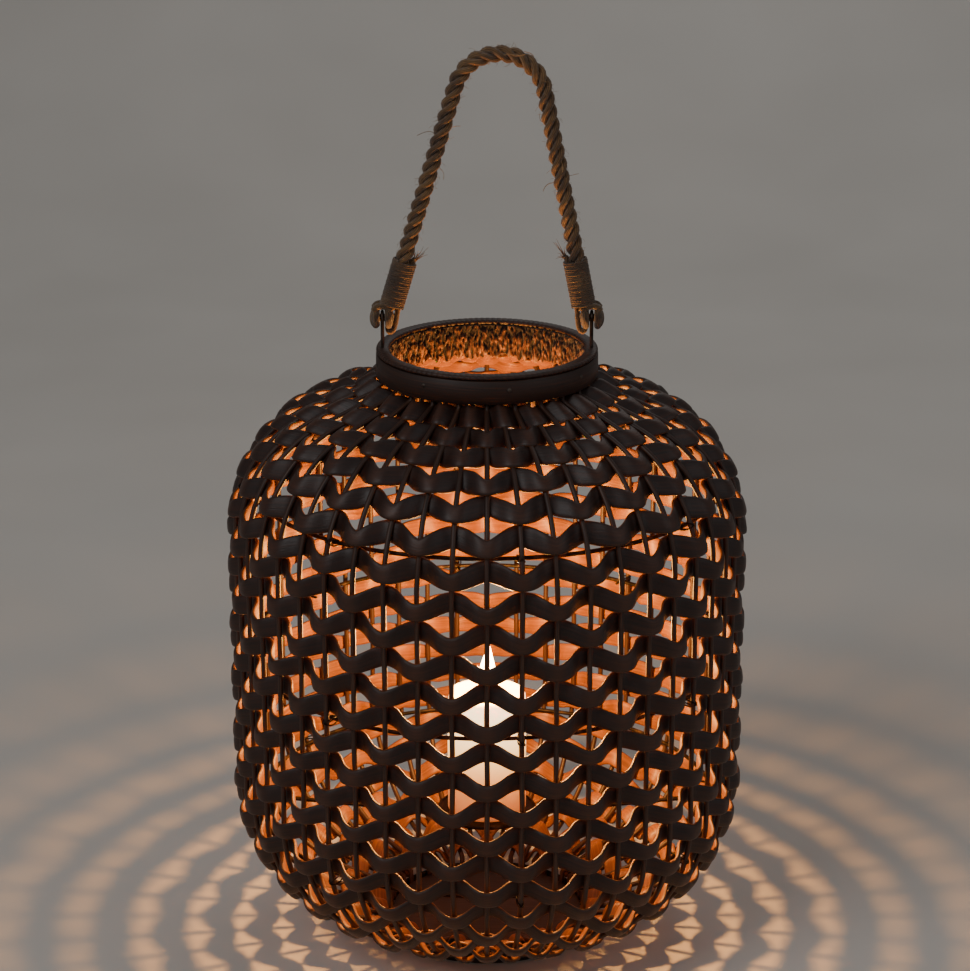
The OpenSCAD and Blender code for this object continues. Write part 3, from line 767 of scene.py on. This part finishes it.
class LANTERN_OT_wefts(bpy.types.Operator):
    """Weaves the rows: each is one flat reed that passes outside one stake and inside the next"""
    bl_idname = "lantern.wefts"
    bl_label = "Wefts"

    def execute(self, context):
        w = context.scene.lantern_weave
        wall = Wall(w)
        rattan = stained_rattan(w)
        samples, sides = w.stakes * 10, 14
        angle = np.arange(samples) * 2 * math.pi / samples
        stake = angle * w.stakes / (2 * math.pi)
        section = np.arange(sides) * 2 * math.pi / sides
        # A flat oval: full sides, round edges.
        flat, deep = filled(np.cos(section), 0.7), filled(np.sin(section), 0.75)
        reach = w.stake_d / 2 + w.clear + w.thick / 2

        def gape(c):
            """0 where two rows meet, 1 in the middle of an opening, with a softly pointed peak."""
            soft = w.peak
            arch = (np.sqrt((1 + c) / 2 + soft * soft) - soft) / (math.sqrt(1 + soft * soft) - soft)
            return 1 - 0.1 * (1 + c) - 0.8 * arch

        for k in range(1, WEFT_ROWS + 1):
            mid = (wall.row(k - 1) + wall.row(k)) / 2
            a = float(wall.angle(mid))
            level = max(math.cos(a), 0)
            snug = (wall.row(k) - wall.row(k - 1)) / 2 - w.slack + w.lap * level
            c = np.cos(math.pi * (stake + k))
            # The first rows are beaten down closer than the rest.
            dense = 1 - 0.35 * math.exp((1 - k) / 1.4)
            uneven = 0.09 * ripple(angle, 100 + k, (5, 9, 14)) + 0.1 * scatter(stake, w.stakes, 600 + k)
            swing = dense * (1 + uneven)
            drift = 0.5 * MM * ripple(angle, 200 + k) + 0.8 * MM * scatter(stake, w.stakes, 700 + k)
            lower = snug - (snug - w.under + w.widen * level) * gape(c) * swing
            upper = snug - (snug - w.over + w.widen * level) * gape(-c) * swing
            if k == 1:
                # The top row is pushed up under the collar.
                upper = upper + 2.4 * MM + 0.8 * MM * scatter(stake, w.stakes, 801)
            half = (lower + upper) / 2
            centre = (lower - upper) / 2 + drift
            bulge = (1 - w.draw_in * level) * c * (1.4 - 0.4 * c * c)
            off = reach * bulge * (1 + 0.08 * ripple(angle, 400 + k, (4, 6, 11)))
            # On the shoulder the flat of a reed stands steeper than the wall does.
            sway = 0.14 * np.sin(math.pi * (stake + k)) * math.sin(k * 2.1)
            lean = 0.1 * ripple(angle, 500 + k) + sway - w.steep * max(math.pi / 2 + a, 0)
            p, q = half[:, None] * flat, w.thick / 2 * deep[None, :] * (1 + 0 * half[:, None])
            along = centre[:, None] + p * np.cos(lean)[:, None] - q * np.sin(lean)[:, None]
            out = off[:, None] + p * np.sin(lean)[:, None] + q * np.cos(lean)[:, None]
            r0, z0 = wall.at(mid)
            r = r0 + along * math.cos(a) - out * math.sin(a)
            z = z0 + along * math.sin(a) + out * math.cos(a)
            turn = np.arange(samples + 1) * 2 * math.pi * float(r0) / samples + 0.7 * k
            shape = grid(spun(r, angle, z), True, True, turn, np.arange(sides + 1) * 2.4 * MM)
            face = np.clip(0.5 - 1.2 * deep, 0, 1)[None, :] + 0 * half[:, None]
            crest = np.clip(c, 0, 1)[:, None] ** 3 * np.clip(deep, 0, 1)[None, :] ** 2
            obj = piece(f"weft_row_{k:02d}", shape, rattan, {"inner": face, "crest": crest})
            settle(obj, "rattan_weft", BODY, f"weft_{k:02d}")
        return {"FINISHED"}


class LANTERN_OT_stakes(bpy.types.Operator):
    """Sets the uprights that run from the collar to the foot inside the weave"""
    bl_idname = "lantern.stakes"
    bl_label = "Stakes"

    def execute(self, context):
        w = context.scene.lantern_weave
        wall = Wall(w)
        s = np.linspace(0, wall.s5, 90)
        r, z = wall.at(s)
        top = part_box("stakes_front")[1][2] - w.stake_d / 2
        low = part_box("stakes_front")[0][2] + w.stake_d / 2
        line = [(wall.neck[0], 0, top)] + [(a, 0, b) for a, b in zip(r, z)] + [(wall.foot[0], 0, low)]
        rattan = streaked_wood("stained rattan core", "#1C0D06", "#3A2012", "#5A3820")
        tree = stake_tree(rattan)
        obj = run_tree("stakes", wire_source(line), tree,
                       {"Count": w.stakes, "Radius": w.stake_d / 2, "Sides": 10, "Jitter": 2.0 * MM,
                        "Seed": 11})
        settle(obj, "rattan_stake", BODY, "stakes_front", "stakes_right", "stakes_back", "stakes_left")
        return {"FINISHED"}


class LANTERN_OT_collar(bpy.types.Operator):
    """Makes the collar: a split-wood band, a jute lining and a bound rim"""
    bl_idname = "lantern.collar"
    bl_label = "Collar"

    def execute(self, context):
        w = context.scene.lantern_weave
        wall = Wall(w)
        t = wall.neck_r - wall.stake_r - STAKE_ROOM
        low, high = wall.neck_low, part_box("collar_band")[1][2]
        r0, r1 = wall.neck_r - t, wall.neck_r
        edge = 0.7 * MM
        wood = streaked_wood("stained split wood", "#140803", "#2B1408", "#472512", rough=(0.5, 0.68),
                             coat=0.04)
        profile = [(r0, low + edge), (r0 + edge, low), (r1 - edge, low), (r1, low + edge)]
        profile += [(r1 + 0.15 * MM, (low + high) / 2), (r1, high - edge), (r1 - edge, high)]
        profile += [(r0 + edge, high), (r0, high - edge)]

        def warp(angle, r, z):
            return r + 0.25 * MM * ripple(angle, 31), z + 0.3 * MM * ripple(angle, 32)

        band = piece("collar_hoop", lathe(profile, 240, warp), wood)
        settle(band, "collar_wood", BODY, "collar_band")
        self.lining(t)
        self.rim(wall, t)
        return {"FINISHED"}

    def lining(self, t):
        """Jute cloth with a brushed face: short upright tufts, no two alike, and a ragged hem."""
        low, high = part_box("collar_lining")[0][2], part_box("collar_lining")[1][2]
        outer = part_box("collar_lining")[1][0]
        around, up = 1100, 60
        a = np.arange(around) * 2 * math.pi / around
        h = np.linspace(0, 1, up)
        cell = (2 * math.pi * outer / around, (high - low) / up)
        tufts = brushed(43, (around, up), (0.6 * MM / cell[0], 1.7 * MM / cell[1]))
        fibres = brushed(44, (around, up), (0.33 * MM / cell[0], 0.9 * MM / cell[1]))
        hem = brushed(45, (around, 2), (0.9 * MM / cell[0], 2))[:, 0]
        depth = MM * np.clip(0.65 * tufts + 0.35 * fibres, -1.3, 1.7)
        inner_r = outer - t + 0.3 * MM - depth
        z = low + (high - low) * h[None, :] - MM * (1.6 + 1.3 * hem[:, None]) * (1 - h[None, :]) ** 4
        inside = spun(inner_r, a, z)
        back = np.stack([outer * np.cos(a), outer * np.sin(a), 0 * a], -1)
        rows = [back + [0, 0, low]] + [inside[:, j] for j in range(up)] + [back + [0, 0, high]]
        points = np.stack(rows, 1)
        run = np.concatenate([[0, t], t + (high - low) * h[1:], [2 * t + high - low, 3 * t + high - low]])
        edge = np.zeros((around, 1))
        # hollow_shade is the painted shade in the hollows between the tufts.
        hollow_shade = np.concatenate([edge, np.clip(0.45 - depth / (2 * MM), 0, 1), edge], 1)
        cloth = burlap("brushed jute cloth", "#4A260F", "#90592C", low, high)
        shape = grid(points, True, True, np.arange(around + 1) * 2 * math.pi * outer / around, run)
        obj = piece("collar_cloth", shape, cloth, {"hollow_shade": hollow_shade})
        settle(obj, "jute_lining", BODY, "collar_lining")

    def rim(self, wall, t):
        """A thin core bound round and round with split cane."""
        low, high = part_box("rim_cap")[0][2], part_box("rim_cap")[1][2]
        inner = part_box("collar_lining")[1][0] - t
        mid_r, mid_z = (inner + wall.neck_r) / 2, (low + high) / 2
        half_w, half_h = (wall.neck_r - inner) / 2 - 0.1 * MM, (high - low) / 2
        turns, sides = 116, 20
        around = turns * 8
        a = np.arange(around) * 2 * math.pi / around
        b = np.arange(sides) * 2 * math.pi / sides
        lay = a[:, None] * turns + b[None, :]
        wrap = np.abs(np.cos(lay / 2)) ** 0.5
        grow = 0.88 + 0.14 * wrap + 0.02 * ripple(a, 51, (23, 41))[:, None]
        cx, cz = filled(np.cos(b), 0.75), filled(np.sin(b), 0.75)
        r = mid_r + half_w * cx[None, :] * grow
        z = mid_z + half_h * cz[None, :] * grow
        cane = streaked_wood("stained split cane", "#170B06", "#33190D", "#5B3520", rough=(0.48, 0.66),
                             coat=0.04)
        shape = grid(spun(r, a, z), True, True, np.arange(around + 1) * 4 * MM,
                     np.arange(sides + 1) * 1.2 * MM)
        obj = piece("bound_rim", shape, cane)
        settle(obj, "collar_wood", BODY, "rim_cap")


class LANTERN_OT_foot(bpy.types.Operator):
    """Makes the foot band and gives the base disc its wood"""
    bl_idname = "lantern.foot"
    bl_label = "Foot"

    def execute(self, context):
        wall = Wall(context.scene.lantern_weave)
        edge = 0.8 * MM
        r0, r1, low, high = wall.foot_r - FOOT_WALL, wall.foot_r, 0.0, wall.foot_h
        # The foot band is made near-black, painted shade: it stands in the shadow under the lantern.
        wood = streaked_wood("shade-painted bent wood", "#0D0805", "#1E130C", "#35241A", rough=(0.5, 0.7),
                             coat=0.05)
        profile = [(r0, low + edge), (r0 + edge, low), (r1 - edge, low), (r1, low + edge), (r1, high - edge),
                   (r1 - edge, high), (r0 + edge, high), (r0, high - edge)]
        band = piece("foot_hoop", lathe(profile, 200), wood)
        settle(band, "foot_wood", BODY, "foot_band")
        # The base board is made near-black too, painted shade under the candle.
        board = streaked_wood("shade-painted board", "#0F0905", "#21150D", "#3A281B", along="Object",
                              coat=0.0)
        paint("base_disc", board)
        return {"FINISHED"}


class LANTERN_OT_wires(bpy.types.Operator):
    """Finishes the hoops, spokes, eyes, ties and tacks"""
    bl_idname = "lantern.wires"
    bl_label = "Wires and tacks"

    def execute(self, context):
        w = context.scene.lantern_weave
        wall = Wall(w)
        iron = oxidised_iron("blackened iron wire")
        bright = oxidised_iron("dark steel wire", "#241E1A", "#4A4039", "#6A4A32")
        plate = oxidised_iron("blackened tinplate", "#1C1815", "#2E2823", "#4A3526")
        tack = oxidised_iron("blued steel tack", "#2A2622", "#57504A", "#6B4A30")
        paint("plate_spokes", iron)
        for node in ("candle_plate", "plate_rim"):
            paint(node, plate)
        for number, node in enumerate(HOOP_ROWS):
            self.hoop(node, number, iron)
        self.ties(w, wall, iron)
        for node in ("eye_left", "eye_right"):
            self.eye(node, bright)
        self.tacks("collar_nails", wall.neck_r, w.stakes, tack)
        self.tacks("base_nails", wall.foot_r, w.stakes, tack)
        return {"FINISHED"}

    def hoop(self, node, number, iron):
        """Wire bent by hand into a ring that is nearly round and nearly flat."""
        low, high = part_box(node)
        d = high[2] - low[2]
        radius = high[0] - d / 2
        z = (low[2] + high[2]) / 2
        a = np.linspace(0, 2 * math.pi, 241)[:-1]
        r = radius - 0.5 * MM + 0.4 * MM * ripple(a, 60 + number)
        path = np.stack([r * np.cos(a), r * np.sin(a), z + 0.35 * MM * ripple(a, 70 + number)], -1)
        obj = piece(f"wire_{node}", tube(path, d / 2 * 0.94, 12, closed=True), iron)
        settle(obj, "dark_wire", BODY, node)

    def ties(self, w, wall, iron):
        """Thin wire lashed crosswise round a stake and a hoop, its ends twisted together inside."""
        shapes = []
        for node, k in HOOP_ROWS.items():
            s = wall.row(k)
            (r0, z0), a = wall.at(s), float(wall.angle(s))
            low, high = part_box(node)
            d = high[2] - low[2]
            inside = wall.off + 0.4 * MM + d / 2
            normal = np.array([-math.sin(a), 0, math.cos(a)])
            down = np.array([math.cos(a), 0, math.sin(a)])
            across = np.array([0.0, 1.0, 0.0])
            origin = np.array([float(r0), 0, float(z0)])
            for lean in (1, -1):
                turn = np.linspace(0, 2 * math.pi, 33)[:-1]
                n = (w.stake_d / 2 - inside - d / 2) / 2 + (inside / 2 + d / 2 + 1.1 * MM) * np.cos(turn)
                m = 3.4 * MM * np.sin(turn) * (1 + 0.1 * lean)
                path = origin + n[:, None] * normal + m[:, None] * (across + lean * down) / math.sqrt(2)
                shapes.append(tube(path, 0.55 * MM, 8, closed=True))
            twist = np.linspace(0, 1, 30)
            for side in (0, math.pi):
                reach = -(inside + d / 2 + 0.8 * MM + 6 * MM * twist)
                swirl = 0.6 * MM * (1 - 0.2 * twist)
                coil = twist * 16 + side
                path = origin + reach[:, None] * normal + (swirl * np.cos(coil))[:, None] * across
                path = path + (swirl * np.sin(coil))[:, None] * down
                shapes.append(tube(path, 0.5 * MM, 8))
        source = piece("source", join(shapes), iron)
        obj = run_tree("hoop_lashings", source, ring_tree(iron),
                       {"Count": FASTENINGS, "Start": 2 * math.pi / w.stakes})
        settle(obj, "dark_wire", BODY, "hoop_ties")

    def eye(self, node, steel):
        """One wire bent to a staple: up from the collar, over the core of the knot and down again."""
        low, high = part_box(node)
        x, d = (low[0] + high[0]) / 2, high[0] - low[0]
        r = (high[1] - low[1] - d) / 2
        leg = np.linspace(low[2], PIVOT_Z, 12)[:-1]
        turn = np.linspace(0, math.pi, 17)
        y = np.concatenate([r + 0 * leg, r * np.cos(turn), 0 * leg - r])
        z = np.concatenate([leg, PIVOT_Z + r * np.sin(turn), leg[::-1]])
        obj = piece(f"wire_{node}", tube(np.stack([x + 0 * y, y, z], -1), d / 2 * 0.97, 12), steel)
        settle(obj, "eye_wire", BODY, node)

    def tacks(self, node, radius, stakes, steel):
        """Domed tacks, driven in midway between two stakes."""
        low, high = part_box(node)
        z = (low[2] + high[2]) / 2
        head = (high[2] - low[2]) / 2
        out = 0.8 * MM
        profile = [(0.02 * MM, out), (head * 0.5, out * 0.85), (head * 0.85, out * 0.5), (head, 0.08 * MM),
                   (head * 0.9, 0.0), (0.8 * MM, 0.0), (0.8 * MM, -6 * MM), (0.02 * MM, -7 * MM)]
        verts, faces, uvs = lathe(profile, 16)
        # The tack is turned to lie along X, its head just off the band.
        turned = np.stack([verts[:, 2] + radius + 0.05 * MM, verts[:, 0], verts[:, 1] + z], -1)
        source = piece("source", (turned, faces, uvs), steel)
        obj = run_tree(f"tacks_{node}", source, ring_tree(steel),
                       {"Count": FASTENINGS, "Start": 1.5 * 2 * math.pi / stakes})
        settle(obj, "nail_steel", BODY, node)


class LANTERN_OT_candle(bpy.types.Operator):
    """Makes the lit pillar candle, its wick and its flame"""
    bl_idname = "lantern.candle"
    bl_label = "Candle"

    def execute(self, context):
        lights = context.scene.lantern_light
        low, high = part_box("candle")
        radius, base, top = high[0], low[2], high[2]
        rim, pool = radius - 5.5 * MM, top - 2.2 * MM
        profile = [(0.05 * MM, base), (radius - 2 * MM, base), (radius - 0.5 * MM, base + 0.6 * MM)]
        profile += [(radius, base + 2.2 * MM), (radius, base + 30 * MM), (radius, top - 25 * MM),
                    (radius, top - 8 * MM)]
        profile += [(radius - 0.3 * MM, top - 3 * MM), (radius - 1.4 * MM, top - 0.5 * MM),
                    (radius - 2.6 * MM, top)]
        profile += [(rim + 1.6 * MM, top - 0.4 * MM), (rim, pool + 0.5 * MM),
                    (rim - 4 * MM, pool - 0.2 * MM)]
        profile += [(rim * 0.5, pool - 0.6 * MM), (2.5 * MM, pool - 0.2 * MM), (0.05 * MM, pool - 0.2 * MM)]

        def soften(angle, r, z):
            up = np.clip((z - top + 14 * MM) / (14 * MM), 0, 1)
            slump = 0.5 * MM * up * (1 + ripple(angle, 81, (2, 3, 5))) * (r > 20 * MM)
            sag = 1.1 * MM * up ** 3 * (1 + ripple(angle, 82, (1, 2, 4))) * 0.5
            return r - slump, z - sag

        wax = lit_wax("ivory paraffin wax", base - 10 * MM, top)
        body = piece("wax_pillar", lathe(profile, 120, soften), wax)
        settle(body, "candle_wax", PILLAR, "candle")

        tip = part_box("wick")[1][2]
        bend = smooth([(0, 0, pool - 4 * MM), (0, 0, pool + 3 * MM), (0.4 * MM, 0.2 * MM, tip - 4 * MM),
                       (1.6 * MM, 0.6 * MM, tip - 0.6 * MM)], 6)
        thick = np.linspace(1.15 * MM, 0.7 * MM, len(bend))
        wick = piece("burnt_wick", tube(bend, thick, 10, turn=900), charred_cotton())
        settle(wick, "wick_cord", PILLAR, "wick")

        start, height = pool + 3.5 * MM, 38 * MM
        t = np.linspace(0.0, 1.0, 26)
        girth = 7.4 * MM * np.sin(math.pi * t ** 0.62) ** 0.9 * (1 - 0.25 * t) + 0.05 * MM
        path = np.stack([0.8 * MM * t + 1.2 * MM * t ** 3, 0.4 * MM * t, start + height * t], -1)
        flame = piece("flame", tube(path, girth, 24), flame_glow(start, start + height))
        settle(flame, "candle_wax", PILLAR)

        data = bpy.data.lights.new("candle_light", "POINT")
        data.energy = lights.flame_w
        data.color = lights.warm
        data.shadow_soft_size = 0.012
        linked("candle_light", data).location = (0.001, 0, start + height * 1.25)
        return {"FINISHED"}


class LANTERN_OT_rope(bpy.types.Operator):
    """Makes the rope handle: a laid rope, its bindings, its end knots and its stray fibres"""
    bl_idname = "lantern.rope"
    bl_label = "Rope handle"

    def execute(self, context):
        rope = context.scene.lantern_rope
        wall = Wall(context.scene.lantern_weave)
        jute = laid_jute("laid jute rope", rope.dark, rope.light, yarn=1.6 * MM, lean=0.5)
        twine = laid_jute("jute twine", "#1C1008", "#4B2F16", yarn=0.7 * MM, lean=0.8)
        # The knots get a darker jute, painted shade that stands for the shadow they sit in.
        shadowed = laid_jute("soiled jute strand", "#130A05", "#36210F", yarn=1.2 * MM, lean=0.6)
        path = self.route(rope, wall)
        strand = rope.diameter * 0.232
        laid = run_tree("laid_rope", wire_source(path), rope_tree(jute),
                        {"Strand radius": strand * 1.04, "Lay radius": rope.diameter / 2 - strand,
                         "Lay": rope.lay, "Strands": 3})
        settle(laid, "jute_rope", HANDLE, "handle_rope")
        fibre = laid_jute("loose jute fibre", "#5A3D20", "#A67D4C", yarn=1.0 * MM, lean=0.2)
        tree = hair_tree(fibre)
        for name, density, length, above, seed in (("stray_fibres", 42000.0, 5.0 * MM, 0.0, 5),
                                                   ("long_fibres", 1500.0, 16 * MM, PIVOT_Z + 0.1, 8)):
            hairs = run_tree(name, linked("source", laid.data.copy()), tree,
                             {"Density": density, "Length": length, "Above": above, "Seed": seed})
            settle(hairs, "jute_rope", HANDLE)
        for side, name in ((-1, "left"), (1, "right")):
            self.binding(side, name, rope, wall, twine)
            self.tail(side, name, rope, wall, jute)
            self.knot(side, name, rope, wall, shadowed)
        return {"FINISHED"}

    def feet(self, rope, wall, side):
        """A limb's foot, the middle of the top bend, and the limb's direction and length between them."""
        foot = ((wall.stake_r - rope.inset) * side, PIVOT_Z)
        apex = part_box("handle_rope")[1][2] - rope.diameter / 2
        top = (rope.lean, apex - rope.bend)
        angle, length = Wall.tangent(foot, top, rope.bend, -side)
        return foot, top, angle, length

    def limb(self, rope, wall, side):
        """Where a limb starts, its direction, and the direction across it towards the other limb."""
        foot, _, angle, _ = self.feet(rope, wall, side)
        axis = np.array([math.cos(angle), 0, math.sin(angle)])
        return np.array([foot[0], 0, foot[1]]), axis, side * np.array([-math.sin(angle), 0, math.cos(angle)])

    def route(self, rope, wall):
        """Up the left limb, over the bend and down the right limb, in even steps."""
        limbs, ends = [], []
        for side in (-1, 1):
            foot, top, angle, length = self.feet(rope, wall, side)
            s = np.linspace(rope.start, length, 70)[:-1]
            limbs.append(np.stack([foot[0] + s * math.cos(angle), foot[1] + s * math.sin(angle)], -1))
            ends.append(angle - side * math.pi / 2)
        turn = np.linspace(ends[0], ends[1], 37)
        over = np.stack([top[0] + rope.bend * np.cos(turn), top[1] + rope.bend * np.sin(turn)], -1)
        flat = np.concatenate([limbs[0], over, limbs[1][::-1]])
        sway = ripple(np.linspace(0, 2 * math.pi, len(flat)), 91)
        return np.stack([flat[:, 0], 0.5 * MM * sway, flat[:, 1]], -1)

    def binding(self, side, name, rope, wall, twine):
        """Twine wound tight round the foot of a limb and the tail strand that lies against it."""
        origin, axis, inward = self.limb(rope, wall, side)
        level = np.array([0.0, 1.0, 0.0])
        pitch = rope.twine * 0.96
        turns = (rope.whip - rope.twine) / pitch
        a = np.arange(int(turns * 24) + 1) / 24 * 2 * math.pi
        bulge = 1.25 * rope.tail * np.clip(np.cos(a), 0, 1) ** 2
        radius = rope.diameter / 2 + rope.twine / 2 + bulge + 0.15 * MM * np.sin(a * 0.37)
        along = rope.first + rope.twine / 2 + pitch * a / (2 * math.pi)
        path = origin + along[:, None] * axis + (radius * np.cos(a))[:, None] * inward
        path = path + (radius * np.sin(a))[:, None] * level
        obj = piece(f"binding_{name}", tube(path, rope.twine / 2 * 1.03, 8), twine)
        settle(obj, "whipping_cord", HANDLE, f"whipping_{name}")

    def tail(self, side, name, rope, wall, jute):
        """A strand that hooks below the knot and lies up the inner side of the limb, its cut end frayed."""
        origin, axis, inward = self.limb(rope, wall, side)
        steps = [(-3, 3), (-7, 3.2), (-10, 5.2), (-7.5, 7.8), (0, 7.6), (8, 6.8), (26, 6.8), (45, 6.9),
                 (50, 8.2)]
        path = smooth([origin + up * MM * axis + out * MM * inward for up, out in steps], 8)
        lumps = ripple(np.linspace(0, 2 * math.pi, len(path)), 95 + side, (5, 9, 17))
        radius = rope.tail * (1 + 0.08 * lumps)
        shapes = [tube(path, radius, 12, turn=500)]
        rng = np.random.default_rng(60 + side)
        t = np.linspace(0, 1, 6)[:, None]
        for _ in range(26):
            spread = rng.normal(0, 1, 3)
            push = axis + 0.35 * inward + 0.4 * spread
            reach = rng.uniform(2.5, 8.5) * MM * t
            droop = rng.normal(0, 1, 3) * 1.4 * MM * t * t
            fibre = path[-1] - 1.5 * MM * axis + 0.55 * MM * spread + reach * push + droop
            shapes.append(tube(fibre, np.linspace(0.26, 0.09, 6) * MM, 4))
        obj = piece(f"tail_{name}", join(shapes), jute)
        settle(obj, "jute_rope", HANDLE)

    def knot(self, side, name, rope, wall, jute):
        """Strands wound in two cheeks, one either side of the eye, on a core that the eye hooks over."""
        low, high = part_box(f"knot_{name}")
        size = (high[0] - low[0]) / 2 + 0.4 * MM
        centre = np.array([wall.stake_r * side, 0, PIVOT_Z])
        strand, gap = 2.6 * MM, rope.slot / 2
        core = np.linspace(-gap - 2 * strand, gap + 2 * strand, 9)
        shapes = [tube(np.stack([core, 0 * core, 0 * core], -1), 2.9 * MM, 16)]
        t = np.linspace(0, 1, 90)
        for cheek in (-1, 1):
            turn = 5.2 * math.pi * t * cheek + 1.3 * cheek + side
            r = (size - strand) * (1 - 0.72 * t ** 1.7) + 0.25 * MM * np.sin(3 * turn)
            x = cheek * (gap + strand + (size - gap - 2 * strand) * t)
            shapes.append(tube(np.stack([x, r * np.cos(turn), r * np.sin(turn)], -1), strand, 12, turn=300))
            # One strand is drawn over the end of the coil and tucked under it.
            arc = np.linspace(-1.35, 1.35, 30)
            r = (size - strand * 0.9) * np.sin(arc)
            x = cheek * (gap + strand + (size - gap - 1.6 * strand) * np.cos(arc))
            tilt = 0.9 * cheek * side
            shapes.append(tube(np.stack([x, r * math.cos(tilt), r * math.sin(tilt)], -1), strand * 0.85, 12,
                               turn=300))
        # Three strands cross above the eye and join the cheeks to the rope.
        span = np.linspace(-1, 1, 25)
        for y in (-1, 0, 1):
            rise = 6.4 * MM + strand + abs(y) * 0.8 * MM - 3.2 * MM * span ** 4
            shapes.append(tube(np.stack([span * 6.2 * MM, 0 * span + y * 1.9 * strand, rise], -1),
                               strand * 0.95, 12))
        verts, faces, uvs = join(shapes)
        obj = piece(f"stopper_{name}", (verts + centre, faces, uvs), jute)
        settle(obj, "jute_rope", HANDLE, f"knot_{name}")


class LANTERN_OT_stage(bpy.types.Operator):
    """Sets the floor, the studio light and the camera"""
    bl_idname = "lantern.stage"
    bl_label = "Stage"

    def execute(self, context):
        lights = context.scene.lantern_light
        scene = context.scene
        material, tree, shader, place = surface("pale studio paper")
        soft = add(tree, "ShaderNodeTexNoise", {"Vector": place, "Scale": 3.0, "Detail": 2}).outputs[0]
        paper = add(tree, "ShaderNodeValToRGB", {"Fac": soft},
                    [(0.3, "#C9C4BD"), (0.7, "#D0CBC4")]).outputs["Color"]
        feed(tree, shader, {"Base Color": paper, "Roughness": 0.9})
        # A floor that sweeps up into a wall behind.
        front, back, sweep, ceiling = -6.0, 2.0, 1.5, 6.0
        sweeps = np.linspace(0.1, math.pi / 2, 14)
        depth = [(front, 0.0), (back, 0.0)]
        depth += [(back + sweep * math.sin(t), sweep - sweep * math.cos(t)) for t in sweeps]
        depth += [(back + sweep, ceiling)]
        points = np.array([[(x, y, z) for y, z in depth] for x in np.linspace(-7, 7, 5)])
        verts, faces, _ = grid(points, False, False)
        mesh = bpy.data.meshes.new("studio_floor")
        mesh.from_pydata(verts.tolist(), [], faces)
        mesh.shade_smooth()
        mesh.materials.append(material)
        floor = linked("studio_floor", mesh)

        world = scene.world or bpy.data.worlds.new("studio")
        scene.world = world
        world.use_nodes = True
        sky = world.node_tree.nodes.get("Background") or add(world.node_tree, "ShaderNodeBackground")
        feed(world.node_tree, sky, {0: (0.95, 0.97, 1.0, 1.0), 1: 0.16 * lights.studio})
        for name, spot, size, watts in (("key", (-1.9, -2.2, 2.6), 1.8, 34),
                                        ("fill", (2.6, -1.6, 1.8), 2.4, 10),
                                        ("back", (0.8, 2.6, 2.8), 2.0, 14)):
            data = bpy.data.lights.new(f"studio_{name}", "AREA")
            data.energy = watts * lights.studio
            data.size = size
            lamp = linked(f"studio_{name}", data)
            lamp.location = spot
            lamp.rotation_euler = (Vector((0, 0, 0.3)) - Vector(spot)).to_track_quat("-Z", "Y").to_euler()

        data = bpy.data.cameras.new("camera")
        data.lens = lights.lens
        data.sensor_width = 36
        data.clip_end = 60
        camera = linked("camera", data)
        aside = -1.5 * MM
        camera.location = (aside, -lights.camera_d * math.cos(lights.camera_el),
                           lights.aim_z + lights.camera_d * math.sin(lights.camera_el))
        aim = Vector((aside, 0, lights.aim_z))
        camera.rotation_euler = (aim - camera.location).to_track_quat("-Z", "Y").to_euler()
        scene.camera = camera
        return {"FINISHED"}


class LANTERN_PT_panel(bpy.types.Panel):
    """Lists the lantern's makers and sizes"""
    bl_label = "Lantern"
    bl_idname = "LANTERN_PT_panel"
    bl_space_type = "VIEW_3D"
    bl_region_type = "UI"
    bl_category = "Lantern"

    def draw(self, context):
        for group in (context.scene.lantern_weave, context.scene.lantern_rope, context.scene.lantern_light):
            part = self.layout.box()
            for key in group.bl_rna.properties.keys():
                if key not in ("rna_type", "name"):
                    part.prop(group, key)
        for operator in OPERATORS:
            self.layout.operator(operator.bl_idname)


OPERATORS = (LANTERN_OT_stage, LANTERN_OT_wefts, LANTERN_OT_stakes, LANTERN_OT_collar, LANTERN_OT_foot,
             LANTERN_OT_wires, LANTERN_OT_candle, LANTERN_OT_rope)
CLASSES = (WeaveSizes, RopeSizes, LightSizes) + OPERATORS + (LANTERN_PT_panel,)


def register():
    for item in CLASSES:
        bpy.utils.register_class(item)
    bpy.types.Scene.lantern_weave = PointerProperty(type=WeaveSizes)
    bpy.types.Scene.lantern_rope = PointerProperty(type=RopeSizes)
    bpy.types.Scene.lantern_light = PointerProperty(type=LightSizes)


def unregister():
    del bpy.types.Scene.lantern_light
    del bpy.types.Scene.lantern_rope
    del bpy.types.Scene.lantern_weave
    for item in reversed(CLASSES):
        bpy.utils.unregister_class(item)


def main():
    register()
    bpy.ops.lantern.stage()
    bpy.ops.lantern.wefts()
    bpy.ops.lantern.stakes()
    bpy.ops.lantern.collar()
    bpy.ops.lantern.foot()
    bpy.ops.lantern.wires()
    bpy.ops.lantern.candle()
    bpy.ops.lantern.rope()


if __name__ == "__main__":
    main()
